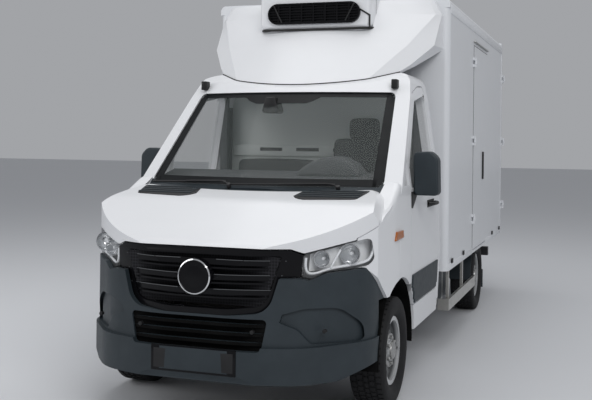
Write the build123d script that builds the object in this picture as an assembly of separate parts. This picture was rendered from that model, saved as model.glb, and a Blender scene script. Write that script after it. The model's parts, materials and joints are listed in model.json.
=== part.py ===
"""Refrigerated truck: van-type chassis cab with an insulated load box.

Millimetres. +Z is up, the truck faces -Y and +X is its left side. Y is counted
from the front axle while the pieces are made. Each piece is then moved by
CENTRE_SHIFT, so that the origin is on the ground at the middle of the length.
"""
import math
import os

from build123d import *

# ---------------------------------------------------------------- driving sizes
WHEELBASE = 3665
TRACK = 1716
TYRE_RADIUS = 352
TYRE_WIDTH = 236
RIM_RADIUS = 222
RIM_WIDTH = 178
KINGPIN_X = 690

FRONT_OVERHANG = 1030
CAB_HALF_WIDTH = 1000
CAB_REAR = 1385
CAB_BOTTOM = 395
CAB_ROOF = 2305
CAB_FLOOR_TOP = 560
PANEL = 35
DOOR_THICKNESS = 70
SIDE_WALL = 115
ROOF_WALL = 45
SHUT_GAP = 6
DOOR_GAP = 8
DOOR_FLANGE = 20
DOOR_STEP = 20
SEAL_GAP = 0.5
FIT = 0.3
GLASS = 5

BOX_HALF_WIDTH = 1030
BOX_FRONT = 1565
BOX_LENGTH = 3540
BOX_BOTTOM = 665
BOX_TOP = 2920
BOX_WALL = 65
BOX_FLOOR = 100
BOX_ROOF = 80
BOX_EDGE_RADIUS = 50
PORTAL_DEPTH = 60
PORTAL_RAIL = 85
LEAF_THICKNESS = 65
HINGE_PIN_RADIUS = 8
HINGE_OUTBOARD = 19
KNUCKLE_RADIUS = 13

RAIL_X = 430
RAIL_WIDTH = 60
RAIL_BOTTOM = 505
RAIL_TOP = 625

# ---------------------------------------------------------------- worked out
HUB_Z = TYRE_RADIUS
BOX_REAR = BOX_FRONT + BOX_LENGTH
LEAF_FRONT = BOX_REAR + SHUT_GAP
LEAF_REAR = LEAF_FRONT + LEAF_THICKNESS
CENTRE_SHIFT = (FRONT_OVERHANG - LEAF_REAR - KNUCKLE_RADIUS) / 2
WHEEL_X = TRACK / 2
AXLES = {"front": 0, "rear": WHEELBASE}
SIDES = {"left": 1, "right": -1}

# ---------------------------------------------------------------- helpers


def outline(points, place):
    """Closed face from (a, b, corner radius) rows, put in space by place(a, b)."""
    rows = [tuple(row) if len(row) == 3 else (*row, 0) for row in points]
    count = len(rows)
    corners = []
    for index, (a, b, radius) in enumerate(rows):
        if not radius:
            corners.append([(a, b)])
            continue
        here = Vector(a, b)
        before = (Vector(*rows[index - 1][:2]) - here)
        after = (Vector(*rows[(index + 1) % count][:2]) - here)
        half = math.radians(before.get_angle(after)) / 2
        reach = min(radius / math.tan(half), before.length * 0.49, after.length * 0.49)
        radius = reach * math.tan(half)
        start = here + before.normalized() * reach
        end = here + after.normalized() * reach
        inward = (before.normalized() + after.normalized()).normalized()
        middle = here + inward * (radius / math.sin(half) - radius)
        corners.append([(p.X, p.Y) for p in (start, middle, end)])
    edges = []
    for index, corner in enumerate(corners):
        if len(corner) == 3:
            edges.append(Edge.make_three_point_arc(*(place(*p) for p in corner)))
        start, end = corner[-1], corners[(index + 1) % count][0]
        if math.dist(start, end) > 1e-4:
            edges.append(Edge.make_line(place(*start), place(*end)))
    return Face(Wire(edges))


def prism_x(points, x0, x1):
    """Outline of (y, z, radius) rows, run along X."""
    return extrude(outline(points, lambda y, z: (x0, y, z)), x1 - x0, dir=(1, 0, 0))


def prism_y(points, y0, y1):
    """Outline of (x, z, radius) rows, run along Y."""
    return extrude(outline(points, lambda x, z: (x, y0, z)), y1 - y0, dir=(0, 1, 0))


def prism_z(points, z0, z1):
    """Outline of (x, y, radius) rows, run along Z."""
    return extrude(outline(points, lambda x, y: (x, y, z0)), z1 - z0, dir=(0, 0, 1))


def block(x0, x1, y0, y1, z0, z1):
    """Box between two corners."""
    return Pos((x0 + x1) / 2, (y0 + y1) / 2, (z0 + z1) / 2) * Box(x1 - x0, y1 - y0, z1 - z0)


def rod_x(radius, x0, x1, y, z):
    return Pos((x0 + x1) / 2, y, z) * Rot(0, 90, 0) * Cylinder(radius, x1 - x0)


def rod_y(radius, y0, y1, x, z):
    return Pos(x, (y0 + y1) / 2, z) * Rot(90, 0, 0) * Cylinder(radius, y1 - y0)


def rod_z(radius, z0, z1, x, y):
    return Pos(x, y, (z0 + z1) / 2) * Cylinder(radius, z1 - z0)


def both(half):
    """A shape on the left together with its mirror image on the right."""
    return half + mirror(half, Plane.YZ)


def symmetric(points):
    """Right half rows (x from the middle outwards) closed with their mirror."""
    rows = [tuple(row) if len(row) == 3 else (*row, 0) for row in points]
    return rows + [(-x, other, radius) for x, other, radius in reversed(rows)]


def inset(points, amount):
    """Outline moved inwards (or outwards, if negative) by one distance."""
    rows = [tuple(row) if len(row) == 3 else (*row, 0) for row in points]
    count = len(rows)
    area = sum(rows[i - 1][0] * rows[i][1] - rows[i][0] * rows[i - 1][1] for i in range(count))
    turn = 1 if area > 0 else -1
    moved = []
    for index, (a, b, radius) in enumerate(rows):
        here = Vector(a, b)
        into = (here - Vector(*rows[index - 1][:2])).normalized()
        out = (Vector(*rows[(index + 1) % count][:2]) - here).normalized()
        normal_in = Vector(-into.Y, into.X) * turn
        normal_out = Vector(-out.Y, out.X) * turn
        step = (normal_in + normal_out) * (amount / (1 + normal_in.dot(normal_out)))
        moved.append((a + step.X, b + step.Y, max(radius - amount, 0.0) if radius else 0))
    return moved


PIECES = {}


def keep(name, shape):
    """Put a finished piece in the list, moved to the truck's own origin."""
    PIECES[name] = Pos(0, CENTRE_SHIFT, 0) * shape


# ---------------------------------------------------------------- cab body form
NOSE_SIDE = [  # y, z, corner radius
    (-985, 500), (-1012, 905, 250), (-952, 1095, 110), (-420, 1335, 500),
    (-60, 1412, 0), (300, 1412), (300, 500),
]
CABIN_SIDE = [  # y, z, corner radius
    (0, CAB_BOTTOM), (0, 1100), (-161, 1400), (610, 2133, 120), (1000, 2265, 400),
    (CAB_REAR, CAB_ROOF, 60), (CAB_REAR, CAB_BOTTOM),
]
CAB_FRONT = symmetric([  # x, z, corner radius
    (CAB_HALF_WIDTH - 20, CAB_BOTTOM), (CAB_HALF_WIDTH, 900, 200), (985, 1400, 150),
    (890, 2060, 200), (850, 2235, 110), (560, 2310, 300),
])
SHOULDER_SIDE = [  # y, z, corner radius, from the fender up to the foot of the windscreen pillar
    (-500, 1000), (-500, 1165, 100), (-353, 1262, 300), (60, 1402, 100), (280, 1418), (280, 1000),
]
SHOULDER_FRONT = symmetric([(950, 950), (986, 1330, 150), (930, 1440, 120)])  # x, z, corner radius
NOSE_FRONT = symmetric([  # x, z, corner radius
    (CAB_HALF_WIDTH - 20, CAB_BOTTOM), (CAB_HALF_WIDTH, 900, 200), (990, 1180, 120),
    (900, 1400, 150), (560, 1425, 200),
])
NOSE_RADIUS = 1130
NOSE_CENTRE_Y = 118
SCREEN_RADIUS = 3200
SCREEN_FOOT = (-161, 1400)
SCREEN_RAKE = (0.725, 0.689)


def plan_prism(reach):
    """Plan form of the cab: round nose, straight sides."""
    radius = NOSE_RADIUS - reach
    side = CAB_HALF_WIDTH - reach
    nose = rod_z(radius, 0, 2600, 0, NOSE_CENTRE_Y)
    flank = prism_z(symmetric([
        (890 - reach, -1100), (965 - reach, -470, 300), (side, -20, 600), (side, CAB_REAR - reach),
    ]), 0, 2600)
    rear = block(-side, side, NOSE_CENTRE_Y, CAB_REAR - reach, 0, 2600)
    return (nose + rear) & flank


def screen_cylinder(reach):
    """Large leaning cylinder that gives the windscreen its crosswise curve."""
    foot = Vector(0, *SCREEN_FOOT)
    along = Vector(0, *SCREEN_RAKE)
    outward = Vector(0, -SCREEN_RAKE[1], SCREEN_RAKE[0])
    centre = foot - outward * SCREEN_RADIUS + along * 500
    return Plane(origin=centre, x_dir=(1, 0, 0), z_dir=along) * Cylinder(SCREEN_RADIUS - reach, 5200)


def envelope(reach=0):
    """Outside form of the cab, moved inwards by reach."""
    wide = 1200
    nose = prism_x(inset(NOSE_SIDE, reach), -wide, wide) & prism_y(inset(NOSE_FRONT, reach), -1100, 310)
    cabin = prism_x(inset(CABIN_SIDE, reach), -wide, wide) & prism_y(inset(CAB_FRONT, reach), -400, 1500)
    cabin = cabin & screen_cylinder(reach)
    shoulder = prism_x(inset(SHOULDER_SIDE, reach), -wide, wide) & prism_y(inset(SHOULDER_FRONT, reach), -510, 310)
    return (nose + shoulder + cabin) & plan_prism(reach)


DOOR_FRONT = 340
DOOR_HINGE = (CAB_HALF_WIDTH + 2, DOOR_FRONT)  # x, y
DOOR = [  # y, z, corner radius
    (DOOR_FRONT, 585, 30), (DOOR_FRONT, 1600, 30), (795, 2085, 70), (1040, 2148, 80),
    (1290, 2165, 90), (1290, 585, 60),
]
WINDOW = [  # y, z, corner radius
    (385, 1385, 30), (385, 1555, 30), (838, 2035, 60), (1222, 2095, 70), (1222, 1400, 50),
]
QUARTER = [(150, 1425, 0), (325, 1425, 0), (325, 1590, 0)]
SCREEN = symmetric([(868, 1418, 40), (785, 2092, 45)])
BONNET_HALF_WIDTH = 865
BONNET_SHOULDER = 1000
BONNET_EDGE = [(-1100, 899), (-88, 1400), (-1100, 1400)]  # y, z; the first side is the shut line on the fender
BONNET_REAR = -190
BONNET_HINGE = (0, 1376)  # y, z
BONNET_ARM_X = (814, 826)
BONNET_ARM = [  # y, z from the hinge line
    (10, 8), (10, -72), (-104, -72), (-104, 0), (-92, 0), (-92, -60), (-10, -60), (-10, 8),
]
BONNET_BOSS_RADIUS = 10
BONNET_PIN_RADIUS = 5
BONNET_POCKET = (-130, 18, 18)  # front y, rear y, top z from the hinge line
COWL_TOP = 1440
FRONT_OPENING = symmetric([(960, 400), (960, 1157), (935, 1152), (613, 1066, 30), (545, 1092, 30)])
LAMP = [(601, 935, 12), (613, 1058, 20), (935, 1144, 25), (955, 975, 60), (725, 955, 30), (652, 918, 20)]
GRILLE_MOUTH = symmetric([(200, 705, 0), (442, 727, 130), (548, 1085, 45)])
GRILLE_WING = [(480, 926, 0), (596, 926, 6), (608, 1056, 10), (540, 1085, 0), (440, 1080, 0)]
GRILLE_RIM = 35
GRILLE_DEPTH = 50
SLATS = [(1010, 34), (975, 10), (925, 34), (890, 10), (840, 34), (805, 10)]  # middle z, height
BADGE_RADIUS = 105
BADGE_Z = 923
BUMPER_LINE = [(-1100, 968), (-560, 968, 40), (-250, 715, 60), (400, 715), (400, 0), (-1100, 0)]
BUMPER_FRONT = symmetric([
    (800, 318, 60), (1000, 400), (1000, 990), (940, 966), (725, 948), (652, 911), (601, 926),
])
BUMPER_PLAN = symmetric([  # x, y, corner radius
    (330, -FRONT_OVERHANG, 1200), (650, -925, 420), (955, -560, 420), (992, 100, 0),
])
BUMPER_UPPER_PLAN = symmetric([
    (320, -FRONT_OVERHANG + 26, 1200), (628, -908, 420), (938, -556, 420), (990, 100, 0),
])
BUMPER_STEP_Z = 530
BUMPER_FACE = [  # y, z, corner radius
    (18 - FRONT_OVERHANG, 200, 0), (18 - FRONT_OVERHANG, 330, 40), (-FRONT_OVERHANG, 375, 40),
    (-FRONT_OVERHANG, 1100, 0),
]
BUMPER_POCKET = [  # x, z, corner radius
    (505, 674, 0), (600, 634, 80), (668, 546, 30), (912, BUMPER_STEP_Z, 30), (905, 640, 120), (800, 745, 120),
    (640, 755, 200), (520, 722, 20),
]
POCKET_DEPTH = 22
BUMPER_WALL = 40
BUMPER_END = -60
INTAKE = symmetric([(405, 505, 25), (440, 690, 25)])
INTAKE_SLATS = [545, 598, 650]
ARCH_Y = 30
ARCH_RADIUS = 475
STEER_LIMIT = 33
SWEEP_RADIUS = math.hypot(WHEEL_X + TYRE_WIDTH / 2 - KINGPIN_X, TYRE_RADIUS) + 15
HOUSE_INNER = 525
HOUSE_TOP = 745


def wheel_house(side):
    """Space kept free for a front wheel at any steering angle."""
    x0, x1 = sorted((side * HOUSE_INNER, side * 1100))
    sweep = rod_z(SWEEP_RADIUS, -50, HOUSE_TOP, side * KINGPIN_X, 0) & block(x0, x1, -600, 600, -50, HOUSE_TOP)
    return rod_x(ARCH_RADIUS, x0, x1, ARCH_Y, HUB_Z) + sweep


CABIN_VOID = [  # y, z, corner radius
    (330, CAB_FLOOR_TOP), (150, 760), (75, 1330), (20, 1400), (640, 1990, 60), (930, 2190, 200),
    (1120, CAB_ROOF - ROOF_WALL, 60), (CAB_REAR - ROOF_WALL, CAB_ROOF - ROOF_WALL, 30),
    (CAB_REAR - ROOF_WALL, CAB_FLOOR_TOP, 30),
]
VOID_FRONT = symmetric([  # x, z, corner radius
    (CAB_HALF_WIDTH - SIDE_WALL, 300), (CAB_HALF_WIDTH - SIDE_WALL, 1400, 60), (795, 2040, 60),
    (730, 2230, 60), (560, CAB_ROOF - ROOF_WALL, 60),
])
FLOOR_PLATE = 80
FIREWALL_Y = 40
FAR = 1500

outer = envelope(0)
inner_panel = envelope(PANEL)
skin = outer - inner_panel
houses = wheel_house(1) + wheel_house(-1)
cabin_void = prism_x(CABIN_VOID, -FAR, FAR) & prism_y(VOID_FRONT, -200, FAR)
floor_underside = CAB_FLOOR_TOP - FLOOR_PLATE
sill_inner = CAB_HALF_WIDTH - SIDE_WALL - 25
under_void = block(-sill_inner, sill_inner, 300, FAR, 0, floor_underside)
solid_cab = outer - cabin_void - under_void - houses
pillar_y = DOOR_FRONT - DOOR_GAP

# windscreen and the opening that holds it
screen_zone = prism_y(SCREEN, -400, 780) & (outer - envelope(90)) & block(-FAR, FAR, -400, 900, 1405, 2200)
windscreen = (envelope(12) - envelope(12 + GLASS)) & prism_y(SCREEN, -300, 800) \
    & block(-900, 900, -300, 900, 1380, 2200)

# bonnet
front_cut = prism_y(FRONT_OPENING, -1100, -300)


def bonnet_space(gap):
    """Room for the bonnet, wider and longer by gap on each side."""
    half = BONNET_HALF_WIDTH + gap
    wing = prism_x(inset(BONNET_EDGE, -gap), -BONNET_SHOULDER, BONNET_SHOULDER)
    tail = rod_z(SCREEN_RADIUS, 900, 1600, 0, BONNET_REAR + gap + SCREEN_RADIUS)
    middle = block(-half, half, -1100, 200, 1050 - gap, 1500)
    return middle + wing - tail


hinge_y, hinge_z = BONNET_HINGE
arm = prism_x([(hinge_y + y, hinge_z + z) for y, z in BONNET_ARM], *BONNET_ARM_X)
arm = arm + rod_x(BONNET_BOSS_RADIUS, *BONNET_ARM_X, hinge_y, hinge_z)
arm = arm - rod_x(BONNET_PIN_RADIUS + FIT, 0, FAR, hinge_y, hinge_z)
pocket_x = (BONNET_ARM_X[0] - SHUT_GAP, BONNET_ARM_X[1] + SHUT_GAP)
pocket = block(*pocket_x, hinge_y + BONNET_POCKET[0], hinge_y + BONNET_POCKET[1], 1300, hinge_z + BONNET_POCKET[2])
hinge_pin = rod_x(BONNET_PIN_RADIUS, pocket_x[0] - 6, pocket_x[1] + 6, hinge_y, hinge_z)
bonnet = (skin & bonnet_space(0)) - front_cut + both(arm)
keep("bonnet", bonnet)

# cowl under the windscreen
cowl_block = block(-BONNET_HALF_WIDTH - SHUT_GAP, BONNET_HALF_WIDTH + SHUT_GAP, -300, 100, 1330, COWL_TOP)
cowl = (solid_cab & cowl_block) - bonnet_space(SHUT_GAP) - screen_zone - both(pocket) + both(hinge_pin)
keep("cowl", cowl)

# headlamps
headlamp = (outer - envelope(80)) & prism_y(LAMP, -1000, -330)
keep("headlamps", both(headlamp))

# fenders
fender_inner = BONNET_HALF_WIDTH + SHUT_GAP
fender = (skin & block(0, FAR, -900, pillar_y, CAB_BOTTOM, 1395)) - bonnet_space(SHUT_GAP) - houses
fender = fender - prism_x(BUMPER_LINE, 0, FAR) - prism_y(LAMP, -1000, -320) - prism_y(GRILLE_MOUTH, -1100, -300)
fender = fender - block(0, 660, -1100, FIREWALL_Y, 0, FAR) - block(0, fender_inner, -260, 400, 900, FAR)
fender = fender - cowl_block
keep("fenders", both(fender))

# cab side frame, with the door opening and its rebate
door_through = prism_x(inset(DOOR, DOOR_STEP + 14), 600, 1100)
window_prism = prism_x(WINDOW, 600, 1100)
rebate = (outer - envelope(DOOR_FLANGE + SEAL_GAP)) & prism_x(inset(DOOR, -DOOR_GAP), 700, 1100)
rebate = rebate + ((outer - envelope(DOOR_THICKNESS + SEAL_GAP)) & prism_x(inset(DOOR, 2), 700, 1100))
side_inner = CAB_HALF_WIDTH - SIDE_WALL - 110
ROOF_SEAM_X = 820
ROOF_SEAM_Z = 2120
REAR_WALL_Y = CAB_REAR - ROOF_WALL
side_zone = block(side_inner, FAR, pillar_y, REAR_WALL_Y, CAB_BOTTOM, ROOF_SEAM_Z) \
    + block(ROOF_SEAM_X, FAR, pillar_y, REAR_WALL_Y, ROOF_SEAM_Z, 2400)
pillar_zone = block(600, FAR, -60, pillar_y, 1395, ROOF_SEAM_Z) - cowl_block - bonnet_space(SHUT_GAP)
hinge_pillar = inner_panel & block(fender_inner, FAR, FIREWALL_Y, pillar_y, floor_underside, 1395)
cab_side = (solid_cab & (side_zone + pillar_zone + hinge_pillar)) - rebate - door_through - screen_zone
cab_side = cab_side - prism_x(QUARTER, 600, 1100)
quarter_glass = (envelope(18) - envelope(18 + GLASS)) & prism_x(QUARTER, 600, 1100)
door = (outer - envelope(DOOR_FLANGE)) & prism_x(DOOR, 700, 1100)
door = door + ((outer - envelope(DOOR_THICKNESS)) & prism_x(inset(DOOR, DOOR_STEP), 700, 1100))
door = door - window_prism - houses
door_glass = (envelope(18) - envelope(18 + GLASS)) & window_prism & block(600, FAR, 300, 1300, 1300, 2200)

# roof, rear wall, floor
header = block(-side_inner, side_inner, 100, REAR_WALL_Y, 2060, ROOF_SEAM_Z + 1)
roof = (solid_cab & (block(-ROOF_SEAM_X, ROOF_SEAM_X, 200, REAR_WALL_Y, ROOF_SEAM_Z, 2400) + header)) - screen_zone
for hole in (rebate, door_through):
    roof = roof - both(hole)
keep("cab_roof", roof)
keep("cab_rear_wall", solid_cab & block(-FAR, FAR, REAR_WALL_Y, CAB_REAR, floor_underside, 2400))
floor_zone = block(-side_inner, side_inner, pillar_y, REAR_WALL_Y, floor_underside, CAB_FLOOR_TOP)
firewall_zone = block(-fender_inner, fender_inner, FIREWALL_Y, pillar_y, floor_underside, 1330)
keep("cab_floor", (solid_cab & (floor_zone + firewall_zone)) - houses)

# mirror: (x, z) outlines of the housing and of its foot
MIRROR_Y = (400, 520)
MIRROR = [(992, 1352, 30), (1166, 1352, 30), (1160, 1610, 60), (1110, 1662, 60), (985, 1655, 40)]
MIRROR_FOOT = [(880, 1360), (1010, 1356), (1010, 1430), (880, 1430)]
mirror_head = prism_y(MIRROR, *MIRROR_Y)
mirror_head = fillet(mirror_head.edges().filter_by(GeomType.LINE).filter_by(Axis.Y, reverse=True), 14)
mirror_foot = prism_y(MIRROR_FOOT, MIRROR_Y[0] + 30, MIRROR_Y[1] - 25) - (outer & block(0, FAR, 300, 700, 1300, 1500))
mirror_left = mirror_head + mirror_foot

for side, sign in SIDES.items():
    hand = (lambda shape: shape) if sign > 0 else (lambda shape: mirror(shape, Plane.YZ))
    keep(f"cab_side_{side}", hand(cab_side))
    keep(f"cab_door_{side}", hand(door))
    keep(f"door_glass_{side}", hand(door_glass))
    keep(f"mirror_{side}", hand(mirror_left))
keep("windscreen_and_quarter_glass", windscreen + both(quarter_glass))

# bumper, grille and badge disc
def bumper_form(reach):
    """Outside form of the bumper, moved inwards by reach."""
    side = [(y + reach, z, radius) for y, z, radius in BUMPER_FACE] + [(60, 1100, 0), (60, 200, 0)]
    lower = prism_z(inset(BUMPER_PLAN, reach), 200, BUMPER_STEP_Z) & prism_x(side, -FAR, FAR)
    return lower + prism_z(inset(BUMPER_UPPER_PLAN, reach), BUMPER_STEP_Z, 1100)


def grille_form(reach):
    """Front outline of the grille with its wings, moved inwards by reach."""
    wing = prism_y(inset(GRILLE_WING, reach), -1100, -700)
    return prism_y(inset(GRILLE_MOUTH, reach), -1100, -700) + both(wing)


intake = prism_y(INTAKE, -1100, -700)
bumper = (bumper_form(0) - bumper_form(BUMPER_WALL)) & prism_y(BUMPER_FRONT, -1100, 0)
bumper = (bumper & prism_x(BUMPER_LINE, -FAR, FAR)) - houses - intake
bumper = bumper - block(-FAR, FAR, BUMPER_END, 200, 200, 1010) - grille_form(-FIT)
intake_bars = (bumper_form(12) - bumper_form(BUMPER_WALL)) & intake
bumper = bumper + [intake_bars & block(-FAR, FAR, -1100, -700, z - 9, z + 9) for z in INTAKE_SLATS]
pockets = both(prism_y(BUMPER_POCKET, -1100, -400))
keep("front_bumper", bumper - ((bumper_form(-10) - bumper_form(POCKET_DEPTH)) & pockets))

grille_hole = prism_y(inset(GRILLE_MOUTH, GRILLE_RIM), -1100, -700)
grille = ((outer - envelope(GRILLE_DEPTH)) & grille_form(0)) - grille_hole
slat_shell = (envelope(8) - envelope(42)) & grille_hole
grille = grille + [slat_shell & block(-FAR, FAR, -1100, -700, z - h / 2, z + h / 2) for z, h in SLATS]
grille = grille + rod_y(BADGE_RADIUS, -1020, -965, 0, BADGE_Z)
keep("grille", grille)

# dashboard, steering wheel and seats
DASH = [(100, 900), (-20, 1405), (160, 1450, 100), (420, 1508, 50), (560, 1400, 60), (520, 1150, 80), (400, 900, 60)]
SEAT_X = 410
SEAT_WIDTH = 490
WHEEL_CENTRE = (SEAT_X, 655, 1415)
WHEEL_TILT = 50
SEAT = [  # y, z, corner radius
    (720, CAB_FLOOR_TOP), (680, 900, 50), (690, 985, 50), (1080, 955, 40), (1170, 1580, 40), (1160, 1800, 40),
    (1190, 1915, 40), (1265, 1915, 40), (1275, 1600, 40), (1200, 900, 60), (1180, CAB_FLOOR_TOP),
]
BENCH = [  # y, z, corner radius
    (720, CAB_FLOOR_TOP), (680, 900, 50), (690, 985, 50), (1080, 955, 40), (1145, 1572, 40),
    (1235, 1572, 40), (1200, 900, 60), (1180, CAB_FLOOR_TOP),
]
BENCH_X = (-660, 20)
keep("dashboard", prism_x(DASH, -870, 870) & cabin_void & envelope(PANEL))
hub_plane = Plane(origin=WHEEL_CENTRE, z_dir=(0, math.sin(math.radians(WHEEL_TILT)), math.cos(math.radians(WHEEL_TILT))))
steering = Torus(190, 15) + Cylinder(55, 40) + [Rot(0, 0, a) * Pos(110, 0, 0) * Box(140, 40, 14) for a in (0, 180, -90)]
steering = steering + Pos(0, 0, -150) * Cylinder(30, 280)
keep("steering_wheel", (hub_plane * steering) - prism_x(DASH, -870, 870))
driver_seat = prism_x(SEAT, SEAT_X - SEAT_WIDTH / 2, SEAT_X + SEAT_WIDTH / 2)
crew_bench = prism_x(BENCH, *BENCH_X)
keep("seats", driver_seat + crew_bench)

# ---------------------------------------------------------------- chassis
FRAME_FRONT = -760
FRAME_REAR = 5085
FRONT_RAIL_Z = (380, 480)
RAIL_STEP_Y = (1400, 1510)
FRONT_CROSSMEMBERS = (-730, 760, 1300)
FRONT_CROSS_Z = (430, 478)
CROSSMEMBERS = (1700, 2300, 3050, 4280, 5055)
CROSS_Z = (520, 610)
CROSS_HALF = 30
TOW_PATTERN = (120, 50)  # across, up
TOW_HOLE_RADIUS = 6.5
BEARER_X = (RAIL_X, RAIL_X + RAIL_WIDTH)
SPRING_X = (495, 565)
SPRING_REACH = 650
SPRING_EYE_Z = 500
AXLE_RADIUS = 50
SHAFT_Z = 380
SHAFT_RADIUS = 38
TOWER_Z = (775, 800)
STRUT_RADIUS = 32
PIN_RADIUS = 12

front_side = [
    (FRAME_FRONT, FRONT_RAIL_Z[0]), (RAIL_STEP_Y[0], FRONT_RAIL_Z[0]), (RAIL_STEP_Y[1], RAIL_BOTTOM),
    (RAIL_STEP_Y[1], RAIL_TOP), (RAIL_STEP_Y[0], FRONT_RAIL_Z[1]), (FRAME_FRONT, FRONT_RAIL_Z[1]),
]
front_rails = both(prism_x(front_side, *BEARER_X))
frame = both(block(*BEARER_X, RAIL_STEP_Y[1], FRAME_REAR, RAIL_BOTTOM, RAIL_TOP))
for y in FRONT_CROSSMEMBERS:
    front_rails = front_rails + block(-RAIL_X, RAIL_X, y - CROSS_HALF, y + CROSS_HALF, *FRONT_CROSS_Z)
for y in CROSSMEMBERS:
    frame = frame + block(-RAIL_X, RAIL_X, y - CROSS_HALF, y + CROSS_HALF, *CROSS_Z)
for x in (-TOW_PATTERN[0] / 2, TOW_PATTERN[0] / 2):
    for z in (-TOW_PATTERN[1] / 2, TOW_PATTERN[1] / 2):
        frame = frame - rod_y(TOW_HOLE_RADIUS, 5000, 5100, x, sum(CROSS_Z) / 2 + z)

for end in (-1, 1):
    eye_y = WHEELBASE + end * SPRING_REACH
    frame = frame + both(block(RAIL_X + RAIL_WIDTH, SPRING_X[1], eye_y - 40, eye_y + 40, SPRING_EYE_Z + 12, 600))

SUBFRAME_Z = (262, 330)
arm = block(300, KINGPIN_X + 30, -70, 70, 205, 235) + rod_z(PIN_RADIUS, 230, 285, KINGPIN_X, 0)
TOWER_Y = (-70, FIREWALL_Y - 2)
tower = block(RAIL_X, RAIL_X + RAIL_WIDTH, *TOWER_Y, FRONT_RAIL_Z[1], TOWER_Z[1]) \
    + block(RAIL_X, KINGPIN_X + 50, *TOWER_Y, *TOWER_Z) - rod_z(STRUT_RADIUS + FIT, 700, 900, KINGPIN_X, 0)
subframe = block(-420, 420, -70, 70, 205, 320) + both(arm)
subframe = subframe + both(block(RAIL_X - 40, RAIL_X + RAIL_WIDTH, -70, 70, 205, FRONT_RAIL_Z[0]))
keep("front_subframe", subframe)
keep("front_rails", front_rails + both(tower))

HUB_FACE = WHEEL_X + 58
SPINDLE_RADIUS = 45
DISC_X = (WHEEL_X - 40, WHEEL_X - 14)
DISC_RADIUS = 150
knuckle = block(KINGPIN_X - 30, KINGPIN_X + 30, -45, 45, 242, 470) \
    + rod_x(SPINDLE_RADIUS, KINGPIN_X, HUB_FACE + 10, 0, HUB_Z) + rod_x(DISC_RADIUS, *DISC_X, 0, HUB_Z) \
    + rod_z(STRUT_RADIUS, 460, TOWER_Z[1] + 60, KINGPIN_X, 0)
knuckle = knuckle - rod_z(PIN_RADIUS + FIT, 235, 286, KINGPIN_X, 0)

tyre_section = [  # x from the middle plane, radius, corner radius
    (-81, 203), (-81, 225), (-112, 250, 25), (-118, 295, 30), (-114, 338, 12), (-98, TYRE_RADIUS, 12),
    (98, TYRE_RADIUS, 12), (114, 338, 12), (118, 295, 30), (112, 250, 25), (81, 225), (81, 203),
]
tyre = revolve(outline(tyre_section, lambda x, r: (x, 0, r)), Axis.X, 360)
RIM_SEAT = 203
barrel = rod_x(RIM_SEAT, -RIM_WIDTH / 2, RIM_WIDTH / 2, 0, 0)
flanges = [rod_x(RIM_RADIUS, min(s * 82, s * 89), max(s * 82, s * 89), 0, 0) for s in (-1, 1)]
rim = barrel + flanges - rod_x(RIM_SEAT - 9, -200, 200, 0, 0)
disc_plate = rod_x(RIM_SEAT - 4, 38, 50, 0, 0) + rod_x(105, 40, 72, 0, 0) + rod_x(62, 40, 84, 0, 0)
disc_plate = disc_plate - rod_x(SPINDLE_RADIUS + FIT, 0, 74, 0, 0)
disc_plate = disc_plate - [Rot(a, 0, 0) * rod_x(17, 0, 200, 0, 152) for a in range(0, 360, 30)]
rim = rim + disc_plate

for place, y in AXLES.items():
    for side, sign in SIDES.items():
        hand = (lambda shape: shape) if sign > 0 else (lambda shape: mirror(shape, Plane.YZ))
        keep(f"tyre_{place}_{side}", hand(Pos(WHEEL_X, y, HUB_Z) * tyre))
        keep(f"rim_{place}_{side}", hand(Pos(WHEEL_X, y, HUB_Z) * rim))
        if place == "front":
            keep(f"knuckle_{side}", hand(knuckle))

rear_axle = rod_x(AXLE_RADIUS, -HUB_FACE + 30, HUB_FACE - 30, WHEELBASE, HUB_Z)
rear_axle = rear_axle + both(rod_x(SPINDLE_RADIUS, 800, HUB_FACE + 10, WHEELBASE, HUB_Z))
rear_axle = rear_axle + both(rod_x(DISC_RADIUS, *DISC_X, WHEELBASE, HUB_Z))
rear_axle = rear_axle + rod_x(140, -95, 95, WHEELBASE, HUB_Z) + rod_y(70, WHEELBASE - 190, WHEELBASE, 0, SHAFT_Z)
spring = prism_x([
    (WHEELBASE - SPRING_REACH - 30, SPRING_EYE_Z - 2), (WHEELBASE - SPRING_REACH - 30, SPRING_EYE_Z + 12),
    (WHEELBASE - SPRING_REACH + 60, SPRING_EYE_Z + 12), (WHEELBASE, HUB_Z + AXLE_RADIUS + 38, 900),
    (WHEELBASE + SPRING_REACH - 60, SPRING_EYE_Z + 12), (WHEELBASE + SPRING_REACH + 30, SPRING_EYE_Z + 12),
    (WHEELBASE + SPRING_REACH + 30, SPRING_EYE_Z - 2), (WHEELBASE + SPRING_REACH - 60, SPRING_EYE_Z - 4),
    (WHEELBASE, HUB_Z + AXLE_RADIUS - 10, 900), (WHEELBASE - SPRING_REACH + 60, SPRING_EYE_Z - 4),
], *SPRING_X)
rear_axle = rear_axle + both(spring)
rear_axle = rear_axle + both(block(*SPRING_X, WHEELBASE - 60, WHEELBASE + 60, HUB_Z, HUB_Z + AXLE_RADIUS + 15))
keep("rear_axle", rear_axle)

GEARBOX_REAR = 700
driveline = block(-240, 240, -640, 20, 450, 1050) + block(-150, 150, 20, GEARBOX_REAR, 335, 475)
driveline = driveline + block(-200, 200, -400, 10, 345, 460)
driveline = driveline + rod_y(SHAFT_RADIUS, GEARBOX_REAR - 20, WHEELBASE - 190, 0, SHAFT_Z)
keep("engine_and_driveline", driveline)

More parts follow.
